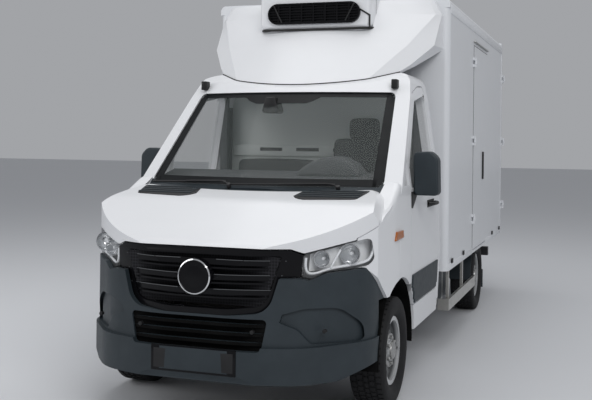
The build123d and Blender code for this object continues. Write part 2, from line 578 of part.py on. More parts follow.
exhaust_x = -300
EXHAUST_Z = 335
exhaust = rod_y(72, 1500, 2150, exhaust_x, EXHAUST_Z) + rod_y(28, 250, 3000, exhaust_x, EXHAUST_Z)
for y, hanger_top in ((FRONT_CROSSMEMBERS[1], FRONT_CROSS_Z[0]), (FRONT_CROSSMEMBERS[2], FRONT_CROSS_Z[0]),
                      (CROSSMEMBERS[1], CROSS_Z[0])):
    exhaust = exhaust + block(exhaust_x - 12, exhaust_x + 12, y - 12, y + 12, EXHAUST_Z, hanger_top)
keep("exhaust", exhaust)

TANKS = [(490, 870, 1790, 2480), (-870, -490, 1790, 2300)]  # x0, x1, y0, y1
tank_forms = [fillet(block(*row, 320, 610).edges().filter_by(Axis.Y), 45) for row in TANKS]
keep("tank_and_battery_box", tank_forms[0] + tank_forms[1])

# ---------------------------------------------------------------- load box
FLOOR_BOTTOM = 760
FLOOR_TOP = FLOOR_BOTTOM + BOX_FLOOR
SKIRT = 25
ROOF_BOTTOM = BOX_TOP - BOX_ROOF
FRONT_WALL = 80
WALL_FRONT = BOX_FRONT + FRONT_WALL
PORTAL_FRONT = BOX_REAR - PORTAL_DEPTH
SIDE_DOOR_Y = (2883, 3795)
SIDE_DOOR_Z = (692, 2668)
SIDE_DOOR_EDGES = (2889, 3785, 702, 2660)  # leaf y0, y1, z0, z1
HINGE_HEIGHTS = (1000, 1750, 2500)

wall_inner = BOX_HALF_WIDTH - BOX_WALL
box_floor = block(-wall_inner, wall_inner, WALL_FRONT, PORTAL_FRONT, FLOOR_BOTTOM, FLOOR_TOP)
box_floor = box_floor + both(block(*BEARER_X, WALL_FRONT, PORTAL_FRONT, RAIL_TOP, FLOOR_BOTTOM))
keep("box_floor", box_floor)

front_wall = block(-BOX_HALF_WIDTH, BOX_HALF_WIDTH, BOX_FRONT, WALL_FRONT, BOX_BOTTOM, ROOF_BOTTOM)
front_corners = front_wall.edges().filter_by(Axis.Z).group_by(Axis.Y)[0]
keep("box_front_wall", fillet(front_corners, BOX_EDGE_RADIUS))

wall = block(wall_inner, BOX_HALF_WIDTH, WALL_FRONT, PORTAL_FRONT, FLOOR_BOTTOM, ROOF_BOTTOM)
wall = wall + block(BOX_HALF_WIDTH - SKIRT, BOX_HALF_WIDTH, WALL_FRONT, PORTAL_FRONT, BOX_BOTTOM, FLOOR_BOTTOM)
keep("box_right_wall", mirror(wall, Plane.YZ))

HINGE_X = BOX_HALF_WIDTH + HINGE_OUTBOARD


def side_hinge_pin(z, y, plate):
    """Pin on the vertical hinge line, held by two plates on the box side."""
    pin = rod_z(HINGE_PIN_RADIUS, z - 45, z + 45, HINGE_X, y)
    plates = [block(BOX_HALF_WIDTH, HINGE_X - 4, *plate, z + e - 13, z + e + 13) for e in (-32, 32)]
    return pin + plates


def knuckle_strap(z, y, strap):
    """Knuckle that turns on the pin, with its strap to the leaf."""
    turn = rod_z(KNUCKLE_RADIUS, z - 16, z + 16, HINGE_X, y) + block(*strap, z - 15, z + 15)
    return turn - rod_z(HINGE_PIN_RADIUS + FIT, z - 60, z + 60, HINGE_X, y)


side_hinge_y = SIDE_DOOR_Y[0]
left_wall = wall - block(BOX_HALF_WIDTH - 200, BOX_HALF_WIDTH + 50, *SIDE_DOOR_Y, *SIDE_DOOR_Z)
leaf_y0, leaf_y1, leaf_z0, leaf_z1 = SIDE_DOOR_EDGES
side_leaf = block(wall_inner, BOX_HALF_WIDTH + 4, leaf_y0, leaf_y1, FLOOR_TOP + 8, leaf_z1)
side_leaf = side_leaf + block(wall_inner + 8, BOX_HALF_WIDTH + 4, leaf_y0, leaf_y1, leaf_z0, FLOOR_TOP + 8)
for z in HINGE_HEIGHTS:
    left_wall = left_wall + side_hinge_pin(z, side_hinge_y, (side_hinge_y - 50, side_hinge_y))
    side_leaf = side_leaf + knuckle_strap(z, side_hinge_y, (BOX_HALF_WIDTH + 4, HINGE_X + 4, side_hinge_y, side_hinge_y + 90))
keep("box_left_wall", left_wall)
keep("side_door", side_leaf)

roof_slab = block(-BOX_HALF_WIDTH, BOX_HALF_WIDTH, BOX_FRONT, PORTAL_FRONT, ROOF_BOTTOM, BOX_TOP)
keep("box_roof", fillet(roof_slab.edges().group_by(Axis.Z)[-1].filter_by(Axis.Y), BOX_EDGE_RADIUS))

LEAF_Z = (FLOOR_TOP - 60, BOX_TOP - 25)
LEAF_X = (5, HINGE_X - 24)
portal = block(-BOX_HALF_WIDTH, BOX_HALF_WIDTH, PORTAL_FRONT, BOX_REAR, BOX_BOTTOM, BOX_TOP) \
    - block(-BOX_HALF_WIDTH + PORTAL_RAIL, BOX_HALF_WIDTH - PORTAL_RAIL, 0, 9000, FLOOR_TOP, BOX_TOP - PORTAL_RAIL)
rear_leaf = block(*LEAF_X, LEAF_FRONT, LEAF_REAR, *LEAF_Z)
for z in HINGE_HEIGHTS:
    portal = portal + both(side_hinge_pin(z, LEAF_REAR, (BOX_REAR - 50, LEAF_REAR)))
    strap = (LEAF_X[1] - 120, HINGE_X, LEAF_REAR, LEAF_REAR + 6)
    rear_leaf = rear_leaf + knuckle_strap(z, LEAF_REAR, strap)
keep("box_rear_frame", portal)
keep("rear_door_left", rear_leaf)
keep("rear_door_right", mirror(rear_leaf, Plane.YZ))
keep("evaporator", block(-480, 480, WALL_FRONT, WALL_FRONT + 420, ROOF_BOTTOM - 210, ROOF_BOTTOM))

lamp_block = block(790, 1000, BOX_REAR, BOX_REAR + 30, 690, 775)
keep("tail_lamps", both(lamp_block))

UNDERRUN_Z = (400, 500)
underrun = block(-900, 900, 4990, 5060, *UNDERRUN_Z) + both(block(*BEARER_X, 4990, 5060, UNDERRUN_Z[1], RAIL_BOTTOM))
keep("ladder_frame", frame + underrun)

GUARD_X = (1000, 1025)
GUARD_Z = (325, 420)
guard = block(*GUARD_X, 1690, 3130, *GUARD_Z) + block(930, GUARD_X[1], 1672, 1692, *GUARD_Z)
for y in (1800, 2530):
    guard = guard + block(GUARD_X[0] - 22, GUARD_X[0], y - 20, y + 20, GUARD_Z[0], BOX_BOTTOM + 95)
guard = guard - block(BOX_HALF_WIDTH - SKIRT, BOX_HALF_WIDTH, 0, 9000, BOX_BOTTOM, 800)
keep("side_guards", both(guard))

MUDGUARD_RADIUS = 374
mud = rod_x(MUDGUARD_RADIUS + 8, 748, 958, WHEELBASE, HUB_Z) - rod_x(MUDGUARD_RADIUS, 700, 1000, WHEELBASE, HUB_Z)
mud = mud & block(700, FAR, WHEELBASE - 400, WHEELBASE + 400, HUB_Z, 1000)
mud = mud + block(820, 900, WHEELBASE - 20, WHEELBASE + 20, HUB_Z + MUDGUARD_RADIUS + 4, FLOOR_BOTTOM)
mud = mud + block(760, 976, WHEELBASE + MUDGUARD_RADIUS, WHEELBASE + MUDGUARD_RADIUS + 8, 170, HUB_Z + 10)
keep("rear_mudguards", both(mud))

# ---------------------------------------------------------------- roof deflector and refrigeration unit
SPOILER = [  # z, middle y, crease x, crease y, corner x, corner y, back x
    (2150, 665, 504, 750, 600, 822, 640),
    (2320, 825, 632, 954, 800, 1080, 850),
    (2500, 1000, 770, 1174, 950, 1311, 974),
    (2768, 1255, 930, 1460, 970, 1510, 974),
    (2895, 1385, 862, 1500, 900, 1525, 905),
]
SPOILER_WALL = 16
SPOILER_SILL = [(1000, 2235), (BOX_FRONT, 2484), (BOX_FRONT, 2000), (1000, 2000)]  # y, z


def spoiler_form(reach):
    """Outside form of the deflector, moved inwards by reach."""
    faces = []
    for z, middle_y, crease_x, crease_y, corner_x, corner_y, back_x in SPOILER:
        half = [(back_x - reach, BOX_FRONT), (corner_x - reach, corner_y + reach), (crease_x - reach, crease_y + reach)]
        left = [Vector(x, y, z) for x, y in half]
        right = [Vector(-x, y, z) for x, y in reversed(half)]
        edges = [Edge.make_line(a, b) for run in (left, right) for a, b in zip(run, run[1:])]
        edges.append(Edge.make_three_point_arc(left[-1], Vector(0, middle_y + reach, z), right[0]))
        edges.append(Edge.make_line(right[-1], left[0]))
        faces.append(Face(Wire(edges)))
    return loft(faces, ruled=True)


UNIT = (470, 1090, 2640, 2945)  # half width, front y, bottom z, top z
UNIT_GRILLE = symmetric([(392, 2675, 85), (392, 2845, 85)])
hollow_top = SPOILER[-1][0] - SPOILER_WALL
spoiler = spoiler_form(0) - (spoiler_form(SPOILER_WALL) & block(-FAR, FAR, 0, BOX_FRONT, 2100, hollow_top))
spoiler = spoiler - prism_x(SPOILER_SILL, -FAR, FAR)
unit_half, unit_front, unit_bottom, unit_top = UNIT
spoiler = spoiler - block(-unit_half, unit_half, 0, BOX_FRONT, unit_bottom, 3000) - outer
keep("roof_spoiler", spoiler)
unit = block(-unit_half, unit_half, unit_front + 25, BOX_FRONT, unit_bottom, unit_top)
unit = fillet(unit.edges().filter_by(Axis.Y), 40)
unit = fillet(unit.faces().sort_by(Axis.Y)[0].edges(), 30)
keep("refrigeration_unit", unit)
grille_ring = prism_y(UNIT_GRILLE, unit_front, unit_front + 25) - prism_y(inset(UNIT_GRILLE, 14), unit_front, unit_front + 25)
inner_ring = prism_y(inset(UNIT_GRILLE, 10), unit_front + 4, unit_front + 25)
for z in range(2690, 2840, 22):
    grille_ring = grille_ring + (inner_ring & block(-FAR, FAR, unit_front, unit_front + 25, z - 4, z + 4))
for x in range(-300, 301, 100):
    grille_ring = grille_ring + (inner_ring & block(x - 6, x + 6, unit_front, unit_front + 25, 2600, 2900))
keep("unit_grille", grille_ring)

os.makedirs("parts", exist_ok=True)
for label, shape in PIECES.items():
    export_step(shape, f"parts/{label}.step")
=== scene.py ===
"""Dresses the refrigerated truck: paint, glass, lamps, wheels, trim and load box fittings."""
import json
import math
from contextlib import contextmanager

import bmesh
import bpy
from mathutils import Matrix, Vector


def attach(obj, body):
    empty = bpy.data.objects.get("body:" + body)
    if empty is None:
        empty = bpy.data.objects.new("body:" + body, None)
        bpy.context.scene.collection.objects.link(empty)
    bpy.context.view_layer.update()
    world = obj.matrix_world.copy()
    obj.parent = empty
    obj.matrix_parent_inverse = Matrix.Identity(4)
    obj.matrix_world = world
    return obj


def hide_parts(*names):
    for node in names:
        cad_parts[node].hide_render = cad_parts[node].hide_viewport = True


bl_info = {
    "name": "Refrigerated Truck Dresser",
    "version": (1, 0, 0),
    "blender": (4, 5, 0),
    "location": "View3D > Sidebar > Truck",
    "description": "Adds the trim, fittings and finishes of a refrigerated truck to its frame",
    "category": "Object",
}

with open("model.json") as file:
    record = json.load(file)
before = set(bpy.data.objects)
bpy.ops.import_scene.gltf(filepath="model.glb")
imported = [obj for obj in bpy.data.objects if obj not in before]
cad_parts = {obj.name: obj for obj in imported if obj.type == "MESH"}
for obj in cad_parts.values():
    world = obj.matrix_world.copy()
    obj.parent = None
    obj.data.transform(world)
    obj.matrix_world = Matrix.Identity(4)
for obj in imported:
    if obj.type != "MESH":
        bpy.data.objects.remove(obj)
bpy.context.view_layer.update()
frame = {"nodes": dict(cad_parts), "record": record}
AXLE_SHIFT = -2.0795
SIDES = {"left": 1, "right": -1}

# Planes that plates are cast from. A plane above zero casts towards the negative side.
SCREEN_CAST = -1.6  # y, ahead of the cab
FRONT_CAST = -4.0  # y, ahead of the cab
LAMP_CAST = 3.0  # y, from behind the headlamps
MIDDLE_CAST = 0.0  # x, from the truck's middle outwards
SIDE_CAST = 2.0  # x, from the left
TOP_CAST = 2.0  # z, from above

BADGE_HEIGHT = 0.923
LAMP_CENTRES = ((0.700, -0.748, 1.030), (0.835, -0.622, 1.052))
LAMP_RADII = (0.047, 0.060)
CAB_WALL = 1.339  # y, 1 mm ahead of the cab's rear wall
TAIL_FACE = 5.135  # y of the tail lamps' outside
LEAF_FACE = 5.176  # y of the rear leaves' outside


# ------------------------------------------------------------------ selecting and shaping
def deselect():
    """Leaves edit mode and selects nothing."""
    if bpy.context.object and bpy.context.object.mode != "OBJECT":
        bpy.ops.object.mode_set(mode="OBJECT")
    bpy.ops.object.select_all(action="DESELECT")


def take(obj):
    """Makes obj the only selected and the active object."""
    deselect()
    obj.select_set(True)
    bpy.context.view_layer.objects.active = obj


def at(x, y, z):
    """Point counted from the front axle, in the truck's own frame."""
    return Vector((x, y + AXLE_SHIFT, z))


def settle(obj):
    """Moves the object's place, turn and size into its mesh."""
    take(obj)
    bpy.ops.object.transform_apply(location=True, rotation=True, scale=True)


@contextmanager
def editing(obj, kind="FACE"):
    """Edit mode on obj with nothing selected."""
    take(obj)
    bpy.ops.object.mode_set(mode="EDIT")
    bpy.ops.mesh.select_mode(type=kind)
    bpy.ops.mesh.select_all(action="DESELECT")
    yield
    bpy.ops.object.mode_set(mode="OBJECT")


def select_mesh():
    """Selects the whole mesh being edited."""
    bpy.ops.mesh.select_all(action="SELECT")


def pick(obj, group, test):
    """Selects the faces, edges or vertices of the mesh being edited that pass the test."""
    mesh = bmesh.from_edit_mesh(obj.data)
    for item in getattr(mesh, group):
        item.select_set(bool(test(item)))
    mesh.select_flush_mode()
    bmesh.update_edit_mesh(obj.data)


def apply_modifier(obj, kind, **settings):
    """Adds one modifier and applies it."""
    take(obj)
    modifier = obj.modifiers.new(kind.lower(), kind)
    for key, value in settings.items():
        setattr(modifier, key, value)
    bpy.ops.object.modifier_apply(modifier=modifier.name)


def round_edges(obj, width, segments=2, angle=40.0):
    """Rounds every edge sharper than the angle."""
    apply_modifier(obj, "BEVEL", width=width, segments=segments, limit_method="ANGLE",
                   angle_limit=math.radians(angle))


def outward(obj):
    """Merges doubles and points every face outwards."""
    with editing(obj):
        select_mesh()
        bpy.ops.mesh.remove_doubles(threshold=0.00005)
        bpy.ops.mesh.normals_make_consistent(inside=False)


def block(name, low, high, bevel=0.003, segments=2):
    """Box between two corners, edges rounded."""
    first, last = at(*low), at(*high)
    size = [abs(b - a) for a, b in zip(first, last)]
    bpy.ops.mesh.primitive_cube_add(size=1.0, location=(first + last) / 2, scale=size)
    obj = bpy.context.object
    obj.name = name
    settle(obj)
    if bevel:
        round_edges(obj, bevel, segments)
    return obj


def rod(name, start, end, radius, end_radius=None, sides=24, bevel=0.0):
    """Round bar or taper between two points."""
    first, last = at(*start), at(*end)
    run = last - first
    bpy.ops.mesh.primitive_cone_add(
        vertices=sides, radius1=radius, radius2=radius if end_radius is None else end_radius,
        depth=run.length, location=(first + last) / 2, rotation=run.to_track_quat("Z", "Y").to_euler())
    obj = bpy.context.object
    obj.name = name
    settle(obj)
    if bevel:
        round_edges(obj, bevel, 2, 50.0)
    return obj


def outline(name, points, filled=True):
    """Closed outline through the points, filled or open."""
    bpy.ops.mesh.primitive_circle_add(vertices=len(points), fill_type="NGON" if filled else "NOTHING")
    obj = bpy.context.object
    obj.name = name
    for vertex, point in zip(obj.data.vertices, points):
        vertex.co = point
    return obj


PLANES = {
    "X": lambda a, b, depth: at(depth, a, b),
    "Y": lambda a, b, depth: at(a, depth, b),
    "Z": lambda a, b, depth: at(a, b, depth),
}


def rectangle(low_a, low_b, high_a, high_b):
    """Corners of a rectangle, as two-number rows."""
    return [(low_a, low_b), (high_a, low_b), (high_a, high_b), (low_a, high_b)]


def centred(low_reach, low, high_reach, high):
    """Corners of a shape even about the truck's middle, its reach given at the foot and at the top."""
    return [(-low_reach, low), (low_reach, low), (high_reach, high), (-high_reach, high)]


def prism(name, points, axis, low, high, bevel=0.0, corner=0.0):
    """Outline of two-number rows, run along an axis; corner rounds its corners first."""
    obj = outline(name, [PLANES[axis](a, b, low) for a, b in points])
    with editing(obj, "VERT"):
        select_mesh()
        if corner:
            bpy.ops.mesh.bevel(offset=corner, affect="VERTICES", segments=4)
            select_mesh()
        step = PLANES[axis](0, 0, high) - PLANES[axis](0, 0, low)
        bpy.ops.mesh.extrude_region_move(TRANSFORM_OT_translate={"value": step})
    outward(obj)
    if bevel:
        round_edges(obj, bevel)
    return obj


def tube(name, points, radius, order=3, sides=3):
    """Round bar that bends smoothly past the points."""
    curve = bpy.data.curves.new(name, "CURVE")
    curve.dimensions = "3D"
    curve.bevel_depth = radius
    curve.bevel_resolution = sides
    curve.use_fill_caps = True
    spline = curve.splines.new("NURBS")
    spline.points.add(len(points) - 1)
    for control, point in zip(spline.points, points):
        control.co = (*at(*point), 1.0)
    spline.order_u = order
    spline.use_endpoint_u = True
    obj = bpy.data.objects.new(name, curve)
    bpy.context.collection.objects.link(obj)
    take(obj)
    bpy.ops.object.convert(target="MESH")
    return bpy.context.object


AXES = {"X": (1, 0, 0), "Y": (0, 1, 0), "Z": (0, 0, 1)}


def lathe(name, rows, centre, steps=48, axis="X"):
    """Closed outline of (along the axis, radius) rows, spun right round."""
    middle = at(*centre)
    direction = AXES[axis]
    points = [middle + Vector((direction[0] * along, direction[1] * along, radius)) for along, radius in rows]
    obj = outline(name, points, filled=False)
    with editing(obj, "VERT"):
        select_mesh()
        bpy.ops.mesh.spin(steps=steps, angle=2 * math.pi, center=middle, axis=direction)
    outward(obj)
    return obj


GRID_TURNS = {"X": (math.pi / 2, 0, math.pi / 2), "Y": (math.pi / 2, 0, 0), "Z": (0, 0, 0)}


def skin_patch(name, node, points, axis, start, lift=0.001, thickness=0.004, cell=0.03):
    """Plate with a convex outline, laid on a solid of the frame as seen along the axis."""
    low = [min(p[i] for p in points) for i in (0, 1)]
    high = [max(p[i] for p in points) for i in (0, 1)]
    count = [max(2, math.ceil((high[i] - low[i]) / cell)) for i in (0, 1)]
    middle = PLANES[axis]((low[0] + high[0]) / 2, (low[1] + high[1]) / 2, start)
    bpy.ops.mesh.primitive_grid_add(
        x_subdivisions=count[0], y_subdivisions=count[1], size=1.0, location=middle,
        rotation=GRID_TURNS[axis])
    obj = bpy.context.object
    obj.name = name
    obj.scale = (high[0] - low[0], high[1] - low[1], 1.0)
    settle(obj)
    centre = Vector((sum(p[0] for p in points), sum(p[1] for p in points))) / len(points)
    with editing(obj, "VERT"):
        for index, (a, b) in enumerate(points):
            last_a, last_b = points[index - 1]
            normal = Vector((b - last_b, last_a - a))
            if normal.dot(Vector((a, b)) - centre) < 0:
                normal = -normal
            select_mesh()
            bpy.ops.mesh.bisect(
                plane_co=PLANES[axis](a, b, start), clear_outer=True,
                plane_no=PLANES[axis](*normal, 0) - PLANES[axis](0, 0, 0))
    apply_modifier(obj, "SHRINKWRAP", target=frame["nodes"][node], wrap_method="PROJECT", project_limit=0.0,
                   use_project_x=axis == "X", use_project_y=axis == "Y", use_project_z=axis == "Z",
                   use_negative_direction=start > 0, use_positive_direction=start <= 0)
    push = AXES[axis]
    along = "XYZ".index(axis)
    plane = PLANES[axis](0, 0, start)[along]
    sign = 1 if start > 0 else -1
    with editing(obj, "VERT"):
        pick(obj, "verts", lambda vertex: abs(vertex.co[along] - plane) < 0.001)
        bpy.ops.mesh.delete(type="VERT")
        select_mesh()
        bpy.ops.transform.translate(value=[lift * sign * part for part in push])
        select_mesh()
        bpy.ops.mesh.extrude_region_move(
            TRANSFORM_OT_translate={"value": [-thickness * sign * part for part in push]})
    outward(obj)
    return obj


def sheet(name, rows, thickness):
    """Smooth curved sheet through rows of points; the thickness is laid on the side that faces inwards."""
    count, width = len(rows), len(rows[0])
    bpy.ops.mesh.primitive_grid_add(x_subdivisions=width - 1, y_subdivisions=count - 1, size=1.0)
    obj = bpy.context.object
    obj.name = name
    with editing(obj, "VERT"):
        spots = [vertex.co.copy() for vertex in bmesh.from_edit_mesh(obj.data).verts]
        for spot in spots:
            column = round((spot.x + 0.5) * (width - 1))
            row = round((spot.y + 0.5) * (count - 1))
            pick(obj, "verts", lambda vertex, spot=spot: (vertex.co - spot).length < 0.0001)
            bpy.ops.transform.translate(value=at(*rows[row][column]) - spot)
        select_mesh()
        bpy.ops.mesh.normals_make_consistent(inside=False)
    apply_modifier(obj, "SUBSURF", levels=2, render_levels=2)
    apply_modifier(obj, "SOLIDIFY", thickness=thickness, offset=-1.0)
    outward(obj)
    return obj


def join(name, pieces):
    """One object from several of the same finish."""
    deselect()
    for piece in pieces:
        piece.select_set(True)
    bpy.context.view_layer.objects.active = pieces[0]
    bpy.ops.object.join()
    obj = bpy.context.object
    obj.name = name
    return obj


def mirror_copy(obj, name):
    """Mirror image on the other side of the truck, with its own mesh."""
    take(obj)
    bpy.ops.object.duplicate()
    copy = bpy.context.object
    copy.name = name
    with editing(copy):
        select_mesh()
        bpy.ops.transform.resize(value=(-1, 1, 1), center_override=(0, 0, 0))
        bpy.ops.mesh.flip_normals()
    return copy


def finish(obj, body, material, smooth=35.0):
    """Gives a piece its finish and shading, and the body that it rides on."""
    take(obj)
    obj.data.materials.clear()
    obj.data.materials.append(MATERIALS[material])
    bpy.ops.object.shade_smooth_by_angle(angle=math.radians(smooth))
    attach(obj, body)


def finish_both(obj, bodies, material, smooth=35.0):
    """Finishes a left piece and its mirror image; bodies are (left, right) or one name."""
    left_body, right_body = (bodies, bodies) if isinstance(bodies, str) else bodies
    stem = obj.name
    right = mirror_copy(obj, stem + "_right")
    obj.name = stem + "_left"
    finish(obj, left_body, material, smooth)
    finish(right, right_body, material, smooth)


# ------------------------------------------------------------------ node material kit
def new_material(name):
    """Empty node material with a Principled shader, returned with its tree and shader."""
    material = bpy.data.materials.new(name)
    material.use_nodes = True
    tree = material.node_tree
    shader = tree.nodes["Principled BSDF"]
    return material, tree, shader


def put(node, values):
    """Sets inputs of a node by name."""
    for name, value in values.items():
        node.inputs[name].default_value = value


def object_point(tree):
    """Object coordinates socket."""
    return tree.nodes.new("ShaderNodeTexCoord").outputs["Object"]


def noise(tree, scale, detail=3.0, roughness=0.55):
    """Noise value on object coordinates."""
    node = tree.nodes.new("ShaderNodeTexNoise")
    put(node, {"Scale": scale, "Detail": detail, "Roughness": roughness})
    tree.links.new(object_point(tree), node.inputs["Vector"])
    return node.outputs["Fac"]


def ramp(tree, value, stops):
    """Colour ramp of (position, colour) stops."""
    node = tree.nodes.new("ShaderNodeValToRGB")
    elements = node.color_ramp.elements
    while len(elements) < len(stops):
        elements.new(0.5)
    for element, (position, tone) in zip(elements, stops):
        element.position = position
        element.color = (*tone, 1.0)
    tree.links.new(value, node.inputs["Fac"])
    return node.outputs["Color"]


def spread(tree, value, low, high):
    """Maps 0..1 to low..high."""
    node = tree.nodes.new("ShaderNodeMapRange")
    put(node, {"To Min": low, "To Max": high})
    tree.links.new(value, node.inputs["Value"])
    return node.outputs["Result"]


def bump(tree, shader, value, strength, distance):
    """Bump on the shader's normal."""
    node = tree.nodes.new("ShaderNodeBump")
    put(node, {"Strength": strength, "Distance": distance})
    tree.links.new(value, node.inputs["Height"])
    tree.links.new(node.outputs["Normal"], shader.inputs["Normal"])


def colour(tree, shader, value, stops):
    """Base colour of the shader from a ramp."""
    tree.links.new(ramp(tree, value, stops), shader.inputs["Base Color"])


def shine(tree, shader, scale, low, high):
    """Uneven roughness of the shader, from low to high."""
    tree.links.new(spread(tree, noise(tree, scale), low, high), shader.inputs["Roughness"])


def split_point(tree):
    """Node that splits the object coordinates."""
    split = tree.nodes.new("ShaderNodeSeparateXYZ")
    tree.links.new(object_point(tree), split.inputs["Vector"])
    return split


def painted(name, tone, rough, coat, peel=0.04, grime=0.0, specular=0.5):
    """Sprayed paint: clear coat, faint orange peel and road film near the ground."""
    material, tree, shader = new_material(name)
    tint = noise(tree, 3.0)
    darker = tuple(c * 0.985 for c in tone)
    base = ramp(tree, tint, [(0.35, darker), (0.65, tone)])
    if grime:
        split = split_point(tree)
        low = tree.nodes.new("ShaderNodeMapRange")
        put(low, {"From Min": 0.35, "From Max": 1.0, "To Min": grime, "To Max": 0.0})
        tree.links.new(split.outputs["Z"], low.inputs["Value"])
        blend = tree.nodes.new("ShaderNodeMix")
        blend.data_type = "RGBA"
        blend.inputs["B"].default_value = (0.32, 0.30, 0.27, 1.0)
        tree.links.new(low.outputs["Result"], blend.inputs["Factor"])
        tree.links.new(base, blend.inputs["A"])
        base = blend.outputs["Result"]
    tree.links.new(base, shader.inputs["Base Color"])
    shine(tree, shader, 11.0, rough * 0.85, rough * 1.15)
    put(shader, {"Coat Weight": coat, "Coat Roughness": 0.14, "Specular IOR Level": specular})
    bump(tree, shader, noise(tree, 14.0, 0.0), peel, 0.0006)
    return material


def moulded(name, tone, rough, grain=0.25, scale=420.0, specular=0.5):
    """Moulded plastic with a fine grain and slightly uneven shine."""
    material, tree, shader = new_material(name)
    pale = tuple(min(1.0, c * 1.22 + 0.004) for c in tone)
    colour(tree, shader, noise(tree, 6.0, 4.0), [(0.3, tone), (0.75, pale)])
    shine(tree, shader, 25.0, rough * 0.85, rough * 1.15)
    put(shader, {"Specular IOR Level": specular})
    bump(tree, shader, noise(tree, scale, 1.0), grain, 0.0003)
    return material


def bare_metal(name, tone, rough, grain=0.12, scale=120.0):
    """Metal with faint streaks and a rough spot here and there."""
    material, tree, shader = new_material(name)
    shade = tuple(c * 0.82 for c in tone)
    colour(tree, shader, noise(tree, 14.0, 5.0), [(0.3, shade), (0.7, tone)])
    put(shader, {"Metallic": 1.0})
    shine(tree, shader, 40.0, rough * 0.7, rough * 1.3)
    bump(tree, shader, noise(tree, scale, 3.0), grain, 0.0008)
    return material


def clear(name, tone, alpha):
    """Thin tinted glass or lens that lets the inside show."""
    material, tree, shader = new_material(name)
    pale = tuple(min(1.0, c * 1.05) for c in tone)
    colour(tree, shader, noise(tree, 2.0), [(0.3, tone), (0.7, pale)])
    put(shader, {"Roughness": 0.02, "Alpha": alpha, "Specular IOR Level": 0.6})
    bump(tree, shader, noise(tree, 1.6, 1.0), 0.02, 0.002)
    return material


def meshed(name, tone):
    """Black mesh: round holes in rows, each painted darker inside as shade in the hole."""
    material, tree, shader = new_material(name)
    cells = tree.nodes.new("ShaderNodeTexVoronoi")
    put(cells, {"Scale": 55.0, "Randomness": 0.0})
    tree.links.new(object_point(tree), cells.inputs["Vector"])
    # The hole centres take the darkest tone as painted shade inside the holes, and the rims between them are
    # lighter.
    pale = tuple(c * 3.5 for c in tone)
    colour(tree, shader, cells.outputs["Distance"], [(0.3, tone), (0.5, pale)])
    put(shader, {"Roughness": 0.6, "Specular IOR Level": 0.15})
    bump(tree, shader, cells.outputs["Distance"], 0.6, 0.002)
    return material


def wheel_silver_with_dish_shade(name, dish, lip):
    """Wheel paint: silver with a brighter lip at the wheel's outer edge; the dish inside it is painted dark
    as shade in its recess.
    """
    material, tree, shader = new_material(name)
    split = split_point(tree)
    size = tree.nodes.new("ShaderNodeMath")
    size.operation = "ABSOLUTE"
    tree.links.new(split.outputs["X"], size.inputs[0])
    edge = tree.nodes.new("ShaderNodeMapRange")
    put(edge, {"From Min": 0.918, "From Max": 0.936})
    tree.links.new(size.outputs["Value"], edge.inputs["Value"])
    # Dark dish, light lip: painted shade in the wheel's recessed dish.
    colour(tree, shader, edge.outputs["Result"], [(0.0, dish), (1.0, lip)])
    shine(tree, shader, 30.0, 0.3, 0.45)
    put(shader, {"Metallic": 0.4})
    bump(tree, shader, noise(tree, 60.0, 1.0), 0.05, 0.0004)
    return material


MATERIALS = {}


